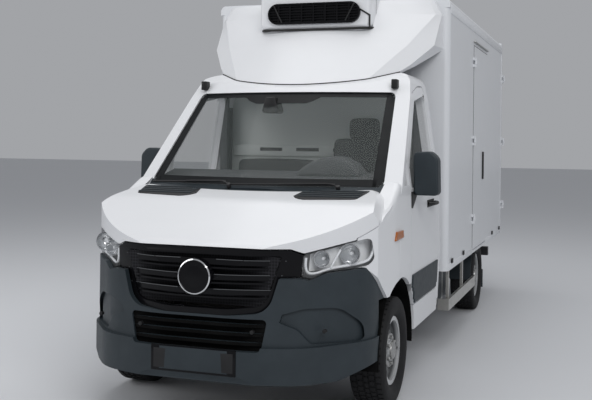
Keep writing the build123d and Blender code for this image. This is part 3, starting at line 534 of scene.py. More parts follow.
def make_materials(truck):
    """All finishes, by name."""
    MATERIALS.update({
        "white_paint": painted("cab_paint", tuple(truck.cab_colour), 0.36, 0.3, grime=0.05),
        "box_white": painted("box_gelcoat", tuple(truck.box_colour), 0.38, 0.25, peel=0.03, grime=0.06),
        "dark_plastic": moulded("bumper_plastic", tuple(truck.bumper_colour), 0.5, specular=0.35),
        "gloss_black": painted("gloss_black", (0.004, 0.004, 0.005), 0.2, 0.08, peel=0.02, specular=0.14),
        "glass": clear("window_glass", (0.15, 0.175, 0.168), 0.11),
        "lamp_clear": clear("lamp_lens", (0.86, 0.88, 0.9), 0.07),
        "lamp_red": painted("red_lens", (0.36, 0.012, 0.012), 0.12, 0.5, peel=0.05),
        "tyre": moulded("tyre_rubber", (0.012, 0.012, 0.013), 0.72, 0.3, 300.0, specular=0.25),
        # The dish tone is darker than the lip as painted shade in the recess.
        "steel_rim": wheel_silver_with_dish_shade("wheel_silver", (0.13, 0.135, 0.14), (0.58, 0.59, 0.60)),
        "cast_iron": bare_metal("cast_iron", (0.11, 0.105, 0.10), 0.62, 0.5, 220.0),
        "chassis_black": painted("chassis_black", (0.022, 0.022, 0.024), 0.5, 0.1, peel=0.08),
        "aluminium": bare_metal("aluminium", (0.62, 0.61, 0.58), 0.38),
        "interior": moulded("cabin_plastic", (0.060, 0.064, 0.068), 0.62),
        "seat_cloth": moulded("seat_cloth", (0.026, 0.028, 0.030), 0.9, 0.12, 120.0),
        "chrome": bare_metal("chrome", (0.82, 0.83, 0.84), 0.12, 0.02),
        # Near-white diffuse paint for the chrome lamp reflectors: a painted reflection of the light they
        # mirror.
        "reflector": painted("lamp_reflector", (0.90, 0.91, 0.92), 0.22, 0.4),
        "zinc": bare_metal("zinc_steel", (0.50, 0.50, 0.49), 0.4, 0.1),
        "amber": painted("amber_lens", (0.36, 0.10, 0.012), 0.2, 0.1, peel=0.05, specular=0.3),
        "mirror": bare_metal("mirror_glass", (0.85, 0.86, 0.87), 0.03, 0.0),
        "seal": moulded("rubber_seal", (0.012, 0.012, 0.012), 0.7, 0.2),
        "matt_black": moulded("black_plastic", (0.009, 0.009, 0.010), 0.5, 0.2, specular=0.35),
        "bulkhead": painted("bulkhead_paint", (0.66, 0.70, 0.68), 0.5, 0.1),
        "belt": moulded("belt_webbing", (0.05, 0.05, 0.055), 0.8, 0.4, 300.0),
        "blank_plate": painted("blank_plate", (0.70, 0.70, 0.68), 0.35, 0.2),
        "lamp_trim": painted("lamp_trim", (0.78, 0.80, 0.82), 0.2, 0.5),
        "frit": moulded("glass_border", (0.005, 0.006, 0.007), 0.4, 0.05, specular=0.14),
        # Near-black that takes almost no light: painted shade, used in the intake and the wheel arches.
        "void": moulded("unlit_black", (0.002, 0.002, 0.002), 0.95, 0.05, specular=0.1),
        # Lighter grey for the strips on the grille slats: a painted highlight.
        "slat_edge": painted("slat_edge", (0.095, 0.10, 0.105), 0.25, 0.3),
        # Black mesh whose holes are painted darker inside as shade.
        "mesh": meshed("black_mesh", (0.006, 0.006, 0.007)),
    })


def truck_settings():
    """The sizes and colours of the sidebar panel."""
    return bpy.context.scene.truck_settings


class TruckSettings(bpy.types.PropertyGroup):
    """Sizes and colours that a user changes."""
    cab_colour: bpy.props.FloatVectorProperty(
        name="Cab paint", description="Colour of the cab", default=(0.76, 0.77, 0.79), size=3,
        min=0.0, max=1.0, subtype="COLOR")
    box_colour: bpy.props.FloatVectorProperty(
        name="Box gelcoat", description="Colour of the load box", default=(0.73, 0.745, 0.77), size=3,
        min=0.0, max=1.0, subtype="COLOR")
    badge_radius: bpy.props.FloatProperty(
        name="Badge radius", description="Radius of the plain ring on the grille", default=0.104,
        unit="LENGTH")
    tyre_radius: bpy.props.FloatProperty(
        name="Tyre radius", description="Radius over the tread", default=0.352, unit="LENGTH")
    track: bpy.props.FloatProperty(
        name="Track", description="Distance between the wheels of one axle", default=1.716, unit="LENGTH")
    wheelbase: bpy.props.FloatProperty(
        name="Wheelbase", description="Distance between the axles", default=3.665, unit="LENGTH")
    tread_steps: bpy.props.IntProperty(
        name="Tread steps", description="Steps round each tyre, every third one cut as a groove",
        default=144, min=48, max=240)
    bumper_colour: bpy.props.FloatVectorProperty(
        name="Bumper plastic", description="Colour of the bumper", default=(0.020, 0.028, 0.034), size=3,
        min=0.0, max=1.0, subtype="COLOR")


class TRUCK_OT_finishes(bpy.types.Operator):
    """Gives each solid of the frame its finish"""
    bl_idname = "truck.finishes"
    bl_label = "Finishes"

    def execute(self, context):
        make_materials(truck_settings())
        for part in frame["record"]["subparts"]:
            obj = frame["nodes"][part["node"]]
            for slot in obj.material_slots:
                slot.material = MATERIALS[part["material_slot"]]
        return {"FINISHED"}


class TRUCK_OT_front_glass(bpy.types.Operator):
    """Adds the black glass border, the sensor housing and the wipers"""
    bl_idname = "truck.front_glass"
    bl_label = "Windscreen trim"

    def execute(self, context):
        deselect()
        glass = "windscreen_and_quarter_glass"
        strips = {
            "foot": centred(0.862, 1.421, 0.852, 1.468),
            "head": centred(0.787, 2.052, 0.782, 2.089),
            "sensor": [(-0.30, 2.020), (-0.27, 2.003), (0.15, 2.003), (0.20, 2.020), (0.25, 2.054),
                       (-0.40, 2.054)],
        }
        for name, side in SIDES.items():
            strips[name] = [(side * x, z) for x, z in (
                (0.864, 1.423), (0.782, 2.087), (0.722, 2.087), (0.790, 1.423))]
        border = [skin_patch(name, glass, points, "Y", SCREEN_CAST, 0.0015, 0.002, 0.016)
                  for name, points in strips.items()]
        finish(join("windscreen_border", border), "chassis", "frit")

        housing = prism("sensor_housing", [(-0.19, 1.945), (-0.175, 1.93), (-0.07, 1.93), (-0.055, 1.945),
                                           (-0.085, 2.05), (-0.16, 2.05)], "Y", 0.47, 0.60, 0.012)
        finish(housing, "chassis", "matt_black")

        blades = []
        for index, (x0, x1, lean) in enumerate(((-0.84, -0.20, 0.003), (-0.16, 0.56, 0.002))):
            points = []
            for step in range(7):
                x = x0 + (x1 - x0) * step / 6
                z = 1.424 + lean * step
                y = -0.161 + (z - 1.40) / 0.95 + 0.145 * (x / 0.79) ** 2 - 0.022
                points.append((x, y, z))
            blades.append(tube(f"blade_{index}", points, 0.0065, sides=2))
            arm = [(px, py - 0.016, pz + 0.004) for px, py, pz in points[3:]]
            pivot = (x1 + 0.03, points[-1][1] - 0.035, 1.418)
            blades.append(tube(f"arm_{index}", arm + [pivot], 0.0065, sides=2))
            foot, head = (pivot[0], pivot[1] + 0.02, 1.395), (pivot[0], pivot[1], 1.428)
            blades.append(rod(f"pivot_{index}", foot, head, 0.016, bevel=0.003))
        finish(join("wipers", blades), "chassis", "matt_black")
        return {"FINISHED"}


SHOULDER_COLUMNS = (-0.36, -0.28, -0.20, -0.12, -0.05, 0.02, 0.09, 0.145, 0.23, 0.325)
SHOULDER_FOOT = 1.16
QUARTER_SILL = 1.418


def shoulder_rows():
    """Points of the fender shoulder, from the side up, over its edge and in to the foot of the pillar."""
    rows = [[] for _ in range(8)]
    for y in SHOULDER_COLUMNS:
        under_glass = y > 0.12
        top = QUARTER_SILL if under_glass else 1.247 + (y + 0.36) * 0.4947
        heights = [SHOULDER_FOOT + (top - SHOULDER_FOOT) * share for share in (0.0, 0.33, 0.66)]
        heights += [top - 0.035, top - 0.012, top, top - 0.003]
        heights.append(top - 0.006 if under_glass else min(top, 1.411 + max(0.0, y) * 0.95))
        insets = (0.0, 0.0, 0.0, 0.001, 0.009, 0.03)
        for row, z in enumerate(heights):
            if row < 6:
                side = 1.0 - (z - 0.9) * 0.03 if z < 1.4 else 0.985 - (z - 1.4) * 0.144
                x = min(0.9738 + (y + 0.36) * 0.0778, side + 0.001) - insets[row]
            elif under_glass:
                x = 0.95 - (row - 6) * 0.01
            else:
                x = 0.925 if row == 6 else 0.872
            rows[row].append((x, y, z))
    return rows


class TRUCK_OT_shoulders(bpy.types.Operator):
    """Adds the rounded shoulders between the fenders and the windscreen pillars"""
    bl_idname = "truck.shoulders"
    bl_label = "Fender shoulders"

    def execute(self, context):
        deselect()
        finish_both(sheet("fender_shoulder", shoulder_rows(), 0.003), "chassis", "white_paint", 60.0)
        return {"FINISHED"}


class TRUCK_OT_bonnet_trim(bpy.types.Operator):
    """Adds the vents and their louvres to the bonnet"""
    bl_idname = "truck.bonnet_trim"
    bl_label = "Bonnet trim"

    def execute(self, context):
        deselect()
        vent = [(0.348, -0.290), (0.374, -0.160), (0.385, -0.140), (0.400, -0.130), (0.800, -0.122),
                (0.812, -0.128), (0.814, -0.142), (0.782, -0.300), (0.774, -0.320), (0.752, -0.330),
                (0.440, -0.364), (0.405, -0.352), (0.370, -0.325)]
        base = skin_patch("bonnet_vent", "bonnet", vent, "Z", TOP_CAST, 0.004, 0.012, 0.02)
        round_edges(base, 0.003)
        finish_both(base, "bonnet", "matt_black")
        slats = []
        for row in range(4):
            y = -0.300 + 0.045 * row
            slat = [(0.38, y), (0.785, y + 0.006), (0.785, y + 0.020), (0.38, y + 0.014)]
            slats.append(skin_patch(f"slat_{row}", "bonnet", slat, "Z", TOP_CAST, 0.009, 0.008, 0.04))
        finish_both(join("bonnet_vent_slats", slats), "bonnet", "dark_plastic")
        return {"FINISHED"}


class TRUCK_OT_grille_trim(bpy.types.Operator):
    """Adds the plain ring and disc, the lighter strips on the slats that are painted highlights, and the mesh
    behind the grille
    """
    bl_idname = "truck.grille_trim"
    bl_label = "Grille trim"

    def execute(self, context):
        deselect()
        settings = truck_settings()
        radius = settings.badge_radius
        ring_rows = [(-0.010, radius - 0.007), (0.004, radius - 0.010), (0.004, radius), (-0.006, radius)]
        ring = lathe("badge_ring", ring_rows, (0.0, -1.018, BADGE_HEIGHT), 72, "Y")
        finish(ring, "chassis", "chrome", 60.0)
        dome_rows = [(-0.004, 0.0005), (-0.003, radius * 0.6), (0.0, radius - 0.008), (0.004, radius - 0.008),
                     (0.004, 0.0005)]
        dome = lathe("badge_disc", dome_rows, (0.0, -1.017, BADGE_HEIGHT), 72, "Y")
        finish(dome, "chassis", "gloss_black", 60.0)
        # Dark mesh sheet behind the slats, put there for the shade inside the grille so that nothing shows
        # through. Its holes are painted darker inside.
        backing = prism("grille_mesh", centred(0.40, 0.752, 0.50, 1.045), "Y", -0.918, -0.912)
        finish(backing, "chassis", "mesh")
        highlight_strips = []
        # Thin lighter strips along the slat tops: painted highlights that stand in for reflections on the
        # gloss black slats.
        for height, reach in ((1.026, 0.525), (0.941, 0.505), (0.856, 0.478)):
            for side in (-1, 1):
                inner = radius + 0.012 if abs(height - BADGE_HEIGHT) < radius else 0.02
                near, far = sorted((side * inner, side * reach))
                highlight_strips.append(skin_patch("lip", "grille", rectangle(near, height - 0.004, far, height + 0.002),
                                       "Y", FRONT_CAST, 0.002, 0.006, 0.04))
        finish(join("slat_lips", highlight_strips), "chassis", "slat_edge")
        return {"FINISHED"}


class TRUCK_OT_headlamps(bpy.types.Operator):
    """Adds the bowls, bulbs, trims and backs inside the headlamps; the backs are painted near-white as the
    reflection in their chrome
    """
    bl_idname = "truck.headlamp_insides"
    bl_label = "Headlamp insides"

    def execute(self, context):
        deselect()
        # The lamp backs are chrome; their near-white paint is a painted reflection.
        rear = [(0.612, 0.94), (0.652, 0.926), (0.725, 0.962), (0.945, 0.985), (0.925, 1.135), (0.62, 1.052)]
        back = skin_patch("lamp_back", "headlamps", rear, "Y", LAMP_CAST, -0.006, 0.003, 0.03)
        inside = [(-0.66, 0.965), (-0.40, 0.990), (-0.40, 1.135), (-0.60, 1.125)]
        flank = skin_patch("lamp_flank", "headlamps", inside, "X", MIDDLE_CAST, -0.006, 0.003, 0.03)
        finish_both(join("lamp_back", [back, flank]), "chassis", "reflector")
        bowls = []
        for name, centre, radius in zip(("small", "big"), LAMP_CENTRES, LAMP_RADII):
            rows = [(-0.016, radius), (0.004, radius * 0.93), (0.028, radius * 0.72), (0.042, radius * 0.35),
                    (0.045, 0.001), (0.049, 0.001), (0.047, radius * 0.4), (0.032, radius * 0.8),
                    (0.006, radius), (-0.016, radius * 1.06)]
            bowls.append(lathe(name, rows, centre, 40, "Y"))
        finish_both(join("lamp_bowls", bowls), "chassis", "chrome", 60.0)
        bulbs = []
        for x, y, z in LAMP_CENTRES:
            bulbs.append(rod("bulb", (x, y + 0.04, z), (x, y + 0.002, z), 0.012, 0.008, 16, 0.002))
        finish_both(join("lamp_bulbs", bulbs), "chassis", "lamp_trim", 60.0)
        bezel = tube("lamp_bezel", [(0.620, -0.815, 1.040), (0.613, -0.823, 0.962), (0.655, -0.790, 0.938),
                                    (0.735, -0.725, 0.973), (0.884, -0.572, 0.990), (0.938, -0.490, 1.02),
                                    (0.940, -0.455, 1.125)], 0.0085)
        divider = tube("divider", [(0.742, -0.724, 0.975), (0.762, -0.706, 1.02),
                                   (0.789, -0.680, 1.078)], 0.007)
        finish_both(join("lamp_bezel", [bezel, divider]), "chassis", "lamp_trim", 60.0)
        return {"FINISHED"}


class TRUCK_OT_bumper_trim(bpy.types.Operator):
    """Adds the plate panel and blank plate, the near-black backing and slat faces of the intake painted as
    the shade inside it, and the sensors
    """
    bl_idname = "truck.bumper_trim"
    bl_label = "Bumper trim"

    def execute(self, context):
        deselect()
        panel = block("plate_panel", (-0.272, -1.0285, 0.360), (0.272, -1.0195, 0.512), 0.003)
        finish(panel, "chassis", "gloss_black")
        plate = block("blank_plate", (-0.255, -1.0298, 0.378), (0.255, -1.0268, 0.492), 0.002)
        finish(plate, "chassis", "matt_black")
        # Near-black sheet behind the intake opening: painted shade where the opening is dark.
        backing = block("intake_back", (-0.46, -0.955, 0.50), (0.46, -0.948, 0.70), 0.0)
        finish(backing, "chassis", "void")
        # Near-black plates over the intake slats: painted shade in the intake's recess.
        faces = []
        for height, reach in ((0.545, 0.408), (0.598, 0.420), (0.650, 0.428)):
            face = centred(reach, height - 0.009, reach, height + 0.009)
            faces.append(skin_patch("slat_face", "front_bumper", face, "Y", FRONT_CAST, 0.0015, 0.003, 0.03))
        finish(join("intake_slat_faces", faces), "chassis", "void")
        sensors = []
        for x, y in ((0.36, -1.001), (0.74, -0.822)):
            sensors.append(rod("sensor", (x, y - 0.006, 0.62), (x, y + 0.02, 0.62), 0.012, sides=20,
                               bevel=0.002))
        finish_both(join("parking_sensors", sensors), "chassis", "matt_black")
        return {"FINISHED"}


class TRUCK_OT_cab_sides(bpy.types.Operator):
    """Adds handles, strips, repeaters, window seals, mirror parts, the black strip painted as the shadow
    under the deflector's edge, and roof markers
    """
    bl_idname = "truck.cab_sides"
    bl_label = "Cab side fittings"

    def execute(self, context):
        deselect()
        doors = ("cab_door_left", "cab_door_right")
        grip = tube("grip", [(1.000, 0.90, 1.262), (1.030, 0.93, 1.262), (1.034, 1.03, 1.262),
                             (1.030, 1.12, 1.262), (1.000, 1.15, 1.262)], 0.0135)
        dish = skin_patch("dish", "cab_door_left", rectangle(0.90, 1.235, 1.16, 1.29),
                          "X", SIDE_CAST, 0.002, 0.004)
        finish_both(join("door_handle", [grip, dish]), doors, "matt_black", 60.0)
        strip = skin_patch("door_strip", "cab_door_left", rectangle(0.362, 0.592, 1.276, 0.800),
                           "X", SIDE_CAST, 0.010, 0.014)
        round_edges(strip, 0.004)
        finish_both(strip, doors, "dark_plastic")
        foot = [(0.352, 1.27), (0.372, 1.262), (0.560, 1.372), (0.392, 1.378), (0.352, 1.384)]
        sail = skin_patch("mirror_sail", "cab_door_left", foot, "X", SIDE_CAST, 0.006, 0.01)
        finish_both(sail, doors, "matt_black")
        seals = []
        window = [(0.385, 1.385), (0.385, 1.555), (0.838, 2.035), (1.222, 2.095), (1.222, 1.400)]
        width, over = 0.011, 0.008
        for (y0, z0), (y1, z1) in zip(window, window[1:] + window[:1]):
            run = Vector((y1 - y0, z1 - z0)).normalized()
            side = Vector((-run.y, run.x)) * width
            edge = [(y - side.x * out + run.x * reach, z - side.y * out + run.y * reach)
                    for y, z, out, reach in ((y0, z0, 1.0, -over), (y1, z1, 1.0, over),
                                             (y1, z1, 0.1, over), (y0, z0, 0.1, -over))]
            seals.append(skin_patch("seal", "cab_door_left", edge, "X", SIDE_CAST, 0.002, 0.006, 0.05))
        finish_both(join("window_seal", seals), doors, "seal")
        lens = [(-0.15, 1.085), (0.06, 1.090), (0.055, 1.140), (-0.12, 1.142)]
        repeater = skin_patch("side_repeater", "fenders", lens, "X", SIDE_CAST, 0.012, 0.016, 0.02)
        round_edges(repeater, 0.005)
        finish_both(repeater, "chassis", "amber")
        face = block("mirror_glass", (1.012, 0.5195, 1.375), (1.142, 0.5225, 1.635), 0.001)
        finish_both(face, doors, "mirror")
        # Black tube in seal rubber along the deflector's foot: painted shadow of the gap between the
        # deflector and the roof.
        lip = [(0.745, 1.000, 2.266), (0.640, 0.900, 2.232), (0.545, 0.806, 2.201), (0.450, 0.762, 2.186),
               (0.300, 0.707, 2.168), (0.150, 0.675, 2.157)]
        run = [(-x, y, z) for x, y, z in lip] + [(0.0, 0.664, 2.153)] + lip[::-1]
        finish(tube("spoiler_seal", run, 0.005, sides=2), "chassis", "seal", 60.0)
        marker = block("roof_marker", (0.750, 0.690, 2.120), (0.795, 0.765, 2.190), 0.008, 3)
        finish_both(marker, "chassis", "matt_black")
        return {"FINISHED"}


def tread_tyre(name, side, y):
    """Tyre with grooved and blocked tread, spun round its wheel."""
    settings = truck_settings()
    outer = settings.tyre_radius
    groove = outer - 0.008
    rows = [(-0.081, 0.203), (-0.084, 0.226), (-0.104, 0.240), (-0.1165, 0.275), (-0.1178, 0.300),
            (-0.1145, 0.325), (-0.109, 0.339), (-0.097, outer - 0.002), (-0.066, outer), (-0.064, groove),
            (-0.056, groove), (-0.054, outer), (-0.024, outer), (-0.022, groove), (-0.014, groove),
            (-0.012, outer)]
    rows = rows + [(-along, radius) for along, radius in reversed(rows)]
    centre = (side * settings.track / 2, y, outer)
    obj = lathe(name, rows, centre, settings.tread_steps)
    middle = at(*centre)
    step = 2 * math.pi / settings.tread_steps

    def on_groove(face):
        """Whether a tread face becomes a groove across its rib; on every other rib they sit one step on."""
        offset = face.calc_center_median() - middle
        turn = math.atan2(offset.z, offset.y) % (2 * math.pi)
        rib = abs(offset.x)
        shifted = turn + (step if 0.02 < rib < 0.06 else 0.0)
        radius = math.hypot(offset.y, offset.z)
        return radius > outer - 0.006 and rib < 0.105 and int(shifted / step) % 3 == 0

    with editing(obj):
        pick(obj, "faces", on_groove)
        bpy.ops.mesh.inset(thickness=0.0012, depth=0.0)
        bpy.ops.mesh.extrude_region_shrink_fatten(TRANSFORM_OT_shrink_fatten={"value": -0.006})
    return obj


class TRUCK_OT_wheels(bpy.types.Operator):
    """Adds the tyres with tread, and the bolts, caps and valves of the rims"""
    bl_idname = "truck.wheels"
    bl_label = "Wheels"

    def execute(self, context):
        deselect()
        settings = truck_settings()
        axle = settings.tyre_radius
        for place, y in (("front", 0.0), ("rear", settings.wheelbase)):
            for side_name, side in SIDES.items():
                body = f"wheel_{place}_{side_name}"
                tyre = tread_tyre(f"tread_{place}_{side_name}", side, y)
                finish(tyre, body, "tyre", 40.0)
                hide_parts(f"tyre_{place}_{side_name}")
                face = side * (settings.track / 2 + 0.084)
                hub = (face, y, axle)
                cap_rows = [(0.0, 0.001), (0.0, 0.060), (0.012, 0.058), (0.020, 0.045), (0.022, 0.001)]
                cap = lathe("cap", [(side * along, radius) for along, radius in cap_rows], hub, 40)
                bolts = [cap]
                for turn in range(6):
                    angle = math.radians(60 * turn + 30)
                    across, up = 0.084 * math.cos(angle), 0.084 * math.sin(angle)
                    base = side * (settings.track / 2 + 0.070)
                    bolts.append(rod("bolt", (base, y + across, axle + up),
                                     (base + side * 0.022, y + across, axle + up), 0.0125, sides=6,
                                     bevel=0.0015))
                ring_rows = [(0.0, 0.098), (0.006, 0.100), (0.006, 0.108), (0.0, 0.112)]
                ring_rows = [(side * (along - 0.014), radius) for along, radius in ring_rows]
                ring = lathe("ring", ring_rows, hub, 48)
                valve = rod("valve", (face - side * 0.03, y + 0.185, axle - 0.02),
                            (face + side * 0.004, y + 0.180, axle - 0.02), 0.005, sides=10)
                finish(join(f"wheel_bolts_{place}_{side_name}", bolts + [ring, valve]), body, "zinc", 40.0)
        return {"FINISHED"}


class TRUCK_OT_unit_trim(bpy.types.Operator):
    """Adds the lip, coil, struts, edge strip and seam of the refrigeration unit"""
    bl_idname = "truck.unit_trim"
    bl_label = "Refrigeration unit trim"

    def execute(self, context):
        deselect()
        lip = tube("lip", [(-0.474, 1.20, 2.640), (-0.45, 1.125, 2.632), (-0.30, 1.108, 2.630),
                           (0.30, 1.108, 2.630), (0.45, 1.125, 2.632), (0.474, 1.20, 2.640)], 0.010)
        finish(lip, "chassis", "seal", 60.0)
        # The coil behind the unit's grille in black mesh, its holes painted darker inside as shade.
        backing = prism("unit_coil", centred(0.385, 2.682, 0.385, 2.838), "Y", 1.1135, 1.1155, corner=0.062)
        finish(backing, "chassis", "mesh")
        struts = []
        for side in (-1, 1):
            head, foot = (side * 0.345, 1.093, 2.835), (side * 0.27, 1.093, 2.690)
            struts.append(rod("strut", head, foot, 0.006, sides=12))
        finish(join("grille_struts", struts), "chassis", "matt_black", 60.0)
        edge = prism("unit_edge", [(0.383, 2.792), (0.4705, 2.738), (0.4705, 2.640), (0.461, 2.640),
                                   (0.461, 2.728), (0.383, 2.778)], "Y", 1.1095, 1.130, 0.0015)
        finish(edge, "chassis", "matt_black")
        seam = block("unit_seam", (-0.4715, 1.30, 2.66), (0.4715, 1.303, 2.943), 0.0)
        finish(seam, "chassis", "seal")
        return {"FINISHED"}


def dome_row(name, starts, radius):
    """Rivet heads at the given places, each (point, direction)."""
    heads = []
    for point, direction in starts:
        end = tuple(a + b * 0.004 for a, b in zip(point, direction))
        heads.append(rod("rivet", point, end, radius, radius * 0.55, 8))
    return join(name, heads)


class TRUCK_OT_box_trim(bpy.types.Operator):
    """Adds rails, rivets, gutter, markers, side door seals and the side door's lock to the load box"""
    bl_idname = "truck.box_trim"
    bl_label = "Load box trim"

    def execute(self, context):
        deselect()
        half, front, rear, low, top = 1.030, 1.565, 5.105, 0.665, 2.920
        door_front, door_rear = 2.883, 3.795
        gutter_front, gutter_rear = 2.86, 3.82
        skin = half - 0.001
        rails = [
            block("upper", (skin, front + 0.05, top - 0.125), (half + 0.004, rear, top - 0.052), 0.002),
            block("lower", (skin, front + 0.05, low), (half + 0.004, door_front, low + 0.055), 0.002),
            block("lower_rear", (skin, door_rear, low), (half + 0.004, rear, low + 0.055), 0.002),
            block("post", (skin, rear - 0.062, low + 0.056), (half + 0.004, rear, top - 0.126), 0.002),
        ]
        finish_both(join("box_rails", rails), "chassis", "box_white")
        closing = block("lower_mid", (-half - 0.004, door_front, low), (-skin, door_rear, low + 0.055), 0.002)
        finish(closing, "chassis", "box_white")
        spots = []
        for step in range(18):
            y = front + 0.14 + step * 0.195
            spots.append(((half + 0.004, y, top - 0.088), (1, 0, 0)))
            if not gutter_front < y < gutter_rear:
                spots.append(((half + 0.004, y, low + 0.028), (1, 0, 0)))
        finish_both(dome_row("box_rivets", spots, 0.006), "chassis", "box_white", 50.0)
        gutter = block("door_gutter", (half, gutter_front, 2.694), (half + 0.018, gutter_rear, 2.706), 0.003)
        finish(gutter, "chassis", "zinc")
        seals = [
            block("front", (half - 0.006, 2.8845, 0.70), (half + 0.002, 2.888, 2.66), 0.0),
            block("rear", (half - 0.006, 3.787, 0.70), (half + 0.002, 3.793, 2.66), 0.0),
            block("top", (half - 0.006, 2.886, 2.662), (half + 0.002, 3.792, 2.667), 0.0),
        ]
        finish(join("side_door_seal", seals), "chassis", "seal")
        lock = [
            block("lock_plate", (half + 0.004, 3.475, 1.36), (half + 0.014, 3.555, 1.64), 0.004),
            block("lock_lever", (half + 0.014, 3.500, 1.40), (half + 0.0165, 3.530, 1.62), 0.001),
        ]
        finish(join("side_door_lock", lock), "side_door", "matt_black")
        markers = [block("marker", (half + 0.003, y - 0.03, 0.715), (half + 0.012, y + 0.03, 0.755), 0.003)
                   for y in (1.75, 2.343, 4.322, 4.95)]
        finish_both(join("side_markers", markers), "chassis", "matt_black")
        return {"FINISHED"}


class TRUCK_OT_rear_trim(bpy.types.Operator):
    """Adds lock rods, handles, door seals, lamp lenses and the plain plate at the rear"""
    bl_idname = "truck.rear_trim"
    bl_label = "Rear fittings"

    def execute(self, context):
        deselect()
        face = LEAF_FACE
        for side_name, side in SIDES.items():
            parts = []
            for x in (0.18, 0.62):
                foot, head = (side * x, face + 0.0055, 0.83), (side * x, face + 0.0055, 2.86)
                parts.append(rod("rod", foot, head, 0.0050, sides=14))
                for z in (0.90, 1.45, 2.05, 2.80):
                    parts.append(block("guide", (side * (x - 0.03), face - 0.001, z - 0.02),
                                       (side * (x + 0.03), face + 0.0118, z + 0.02), 0.002))
                near, far = sorted((side * x, side * (x + 0.24)))
                parts.append(block("handle", (near, face + 0.004, 1.30), (far, face + 0.0118, 1.325), 0.003))
            finish(join(f"lock_rods_{side_name}", parts), f"rear_door_{side_name}", "zinc", 40.0)
            near, far = sorted((side * 0.006, side * 0.012))
            strip = block(f"leaf_seal_{side_name}", (near, face - 0.02, 0.81), (far, face + 0.002, 2.89),
                          0.001)
            finish(strip, f"rear_door_{side_name}", "seal")
        lenses = {"lamp_red": (0.800, 0.880), "amber": (0.884, 0.935), "lamp_trim": (0.939, 0.990)}
        for material, (x0, x1) in lenses.items():
            lens = block(f"tail_lens_{material}", (x0, TAIL_FACE - 0.002, 0.697),
                         (x1, TAIL_FACE + 0.006, 0.768), 0.003)
            finish_both(lens, "chassis", material)
        plate = block("rear_plate", (-0.26, 5.060, 0.42), (0.26, 5.066, 0.53), 0.002)
        finish(plate, "chassis", "blank_plate")
        return {"FINISHED"}


class TRUCK_OT_cabin(bpy.types.Operator):
    """Adds the bulkhead panel, pillar trims, belts, seats and instrument hood"""
    bl_idname = "truck.cabin"
    bl_label = "Cabin"

    def execute(self, context):
        deselect()
        wall = CAB_WALL
        panel = [block("panel", (-0.80, wall - 0.006, 1.10), (0.80, wall - 0.002, 2.16), 0.002),
                 block("ledge", (-0.78, wall - 0.030, 1.595), (0.78, wall - 0.005, 1.690), 0.008)]
        finish(join("bulkhead_panel", panel), "chassis", "bulkhead")
        # Black strips in the ledge's slot cut-outs: painted shade inside the slots.
        slots = [block("slot", (x - 0.10, wall - 0.0315, 1.640), (x + 0.10, wall - 0.029, 1.668), 0.0)
                 for x in (-0.435, -0.11, 0.215, 0.54)]
        finish(join("ledge_slots", slots), "chassis", "matt_black")
        trim = prism("pillar_trim", [(1.22, 1.02), (1.335, 1.02), (1.335, 2.16), (1.225, 2.12)],
                     "X", 0.800, 0.868, 0.008)
        finish_both(trim, "chassis", "interior")
        belt = block("seat_belt", (0.792, 1.262, 1.10), (0.798, 1.308, 1.98), 0.001)
        finish_both(belt, "chassis", "belt")
        arch = [(0.14, 1.47), (0.19, 1.525), (0.26, 1.572), (0.34, 1.605), (0.42, 1.618),
                (0.50, 1.610), (0.58, 1.570), (0.63, 1.510), (0.65, 1.460)]
        hood = prism("instrument_hood", arch, "Y", 0.27, 0.50, 0.03)
        finish(hood, "chassis", "interior", 60.0)
        seats = (("driver", 0.175, 0.645, 1.747, True), ("crew", -0.655, 0.015, 1.572, False))
        for name, x0, x1, top, head in seats:
            shapes = [
                ("base", (x0, 0.70, 0.80), (x1, 1.19, 0.975)),
                ("back", (x0, 1.10, 0.93), (x1, 1.235, top)),
            ]
            if head:
                middle = (x0 + x1) / 2
                shapes.append(("head", (middle - 0.125, 1.165, 1.735), (middle + 0.125, 1.262, 1.915)))
            for part, low, high in shapes:
                pad = block(f"{name}_seat_{part}", low, high, 0.045, 3)
                with editing(pad):
                    select_mesh()
                    bpy.ops.mesh.subdivide(number_cuts=1, smoothness=0.6)
                apply_modifier(pad, "SUBSURF", levels=1, render_levels=1)
                finish(pad, "chassis", "seat_cloth", 60.0)
                if part == "back" and name == "driver":
                    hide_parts("seats")
        pillar = block("seat_frame", (0.20, 0.76, 0.562), (0.62, 1.16, 0.80), 0.01)
        bench = block("bench_box", (-0.63, 0.76, 0.562), (-0.01, 1.16, 0.80), 0.01)
        posts = [rod("post", (x, 1.21, 1.66), (x, 1.215, 1.76), 0.006, sides=10) for x in (0.36, 0.46)]
        finish(join("seat_frames", [pillar, bench] + posts), "chassis", "interior")
        return {"FINISHED"}


ARCH_MIDDLE = (0.030, 0.352)  # y, z
LINER_RADII = (0.4735, 0.4700)
LINER_START, LINER_SWEEP, LINER_STEPS = -5, 190, 36  # degrees, degrees, count


def arch_liner(name):
    """Half tube of black plastic that lines a front wheel arch; it takes the near-black finish that paints
    the shade inside the arch.
    """
    points = []
    there = range(LINER_STEPS + 1)
    for radius, turns in zip(LINER_RADII, (there, reversed(there))):
        for step in turns:
            angle = math.radians(LINER_START + step * LINER_SWEEP / LINER_STEPS)
            points.append((ARCH_MIDDLE[0] - radius * math.cos(angle),
                           ARCH_MIDDLE[1] + radius * math.sin(angle)))
    return prism(name, points, "X", 0.560, 0.968)


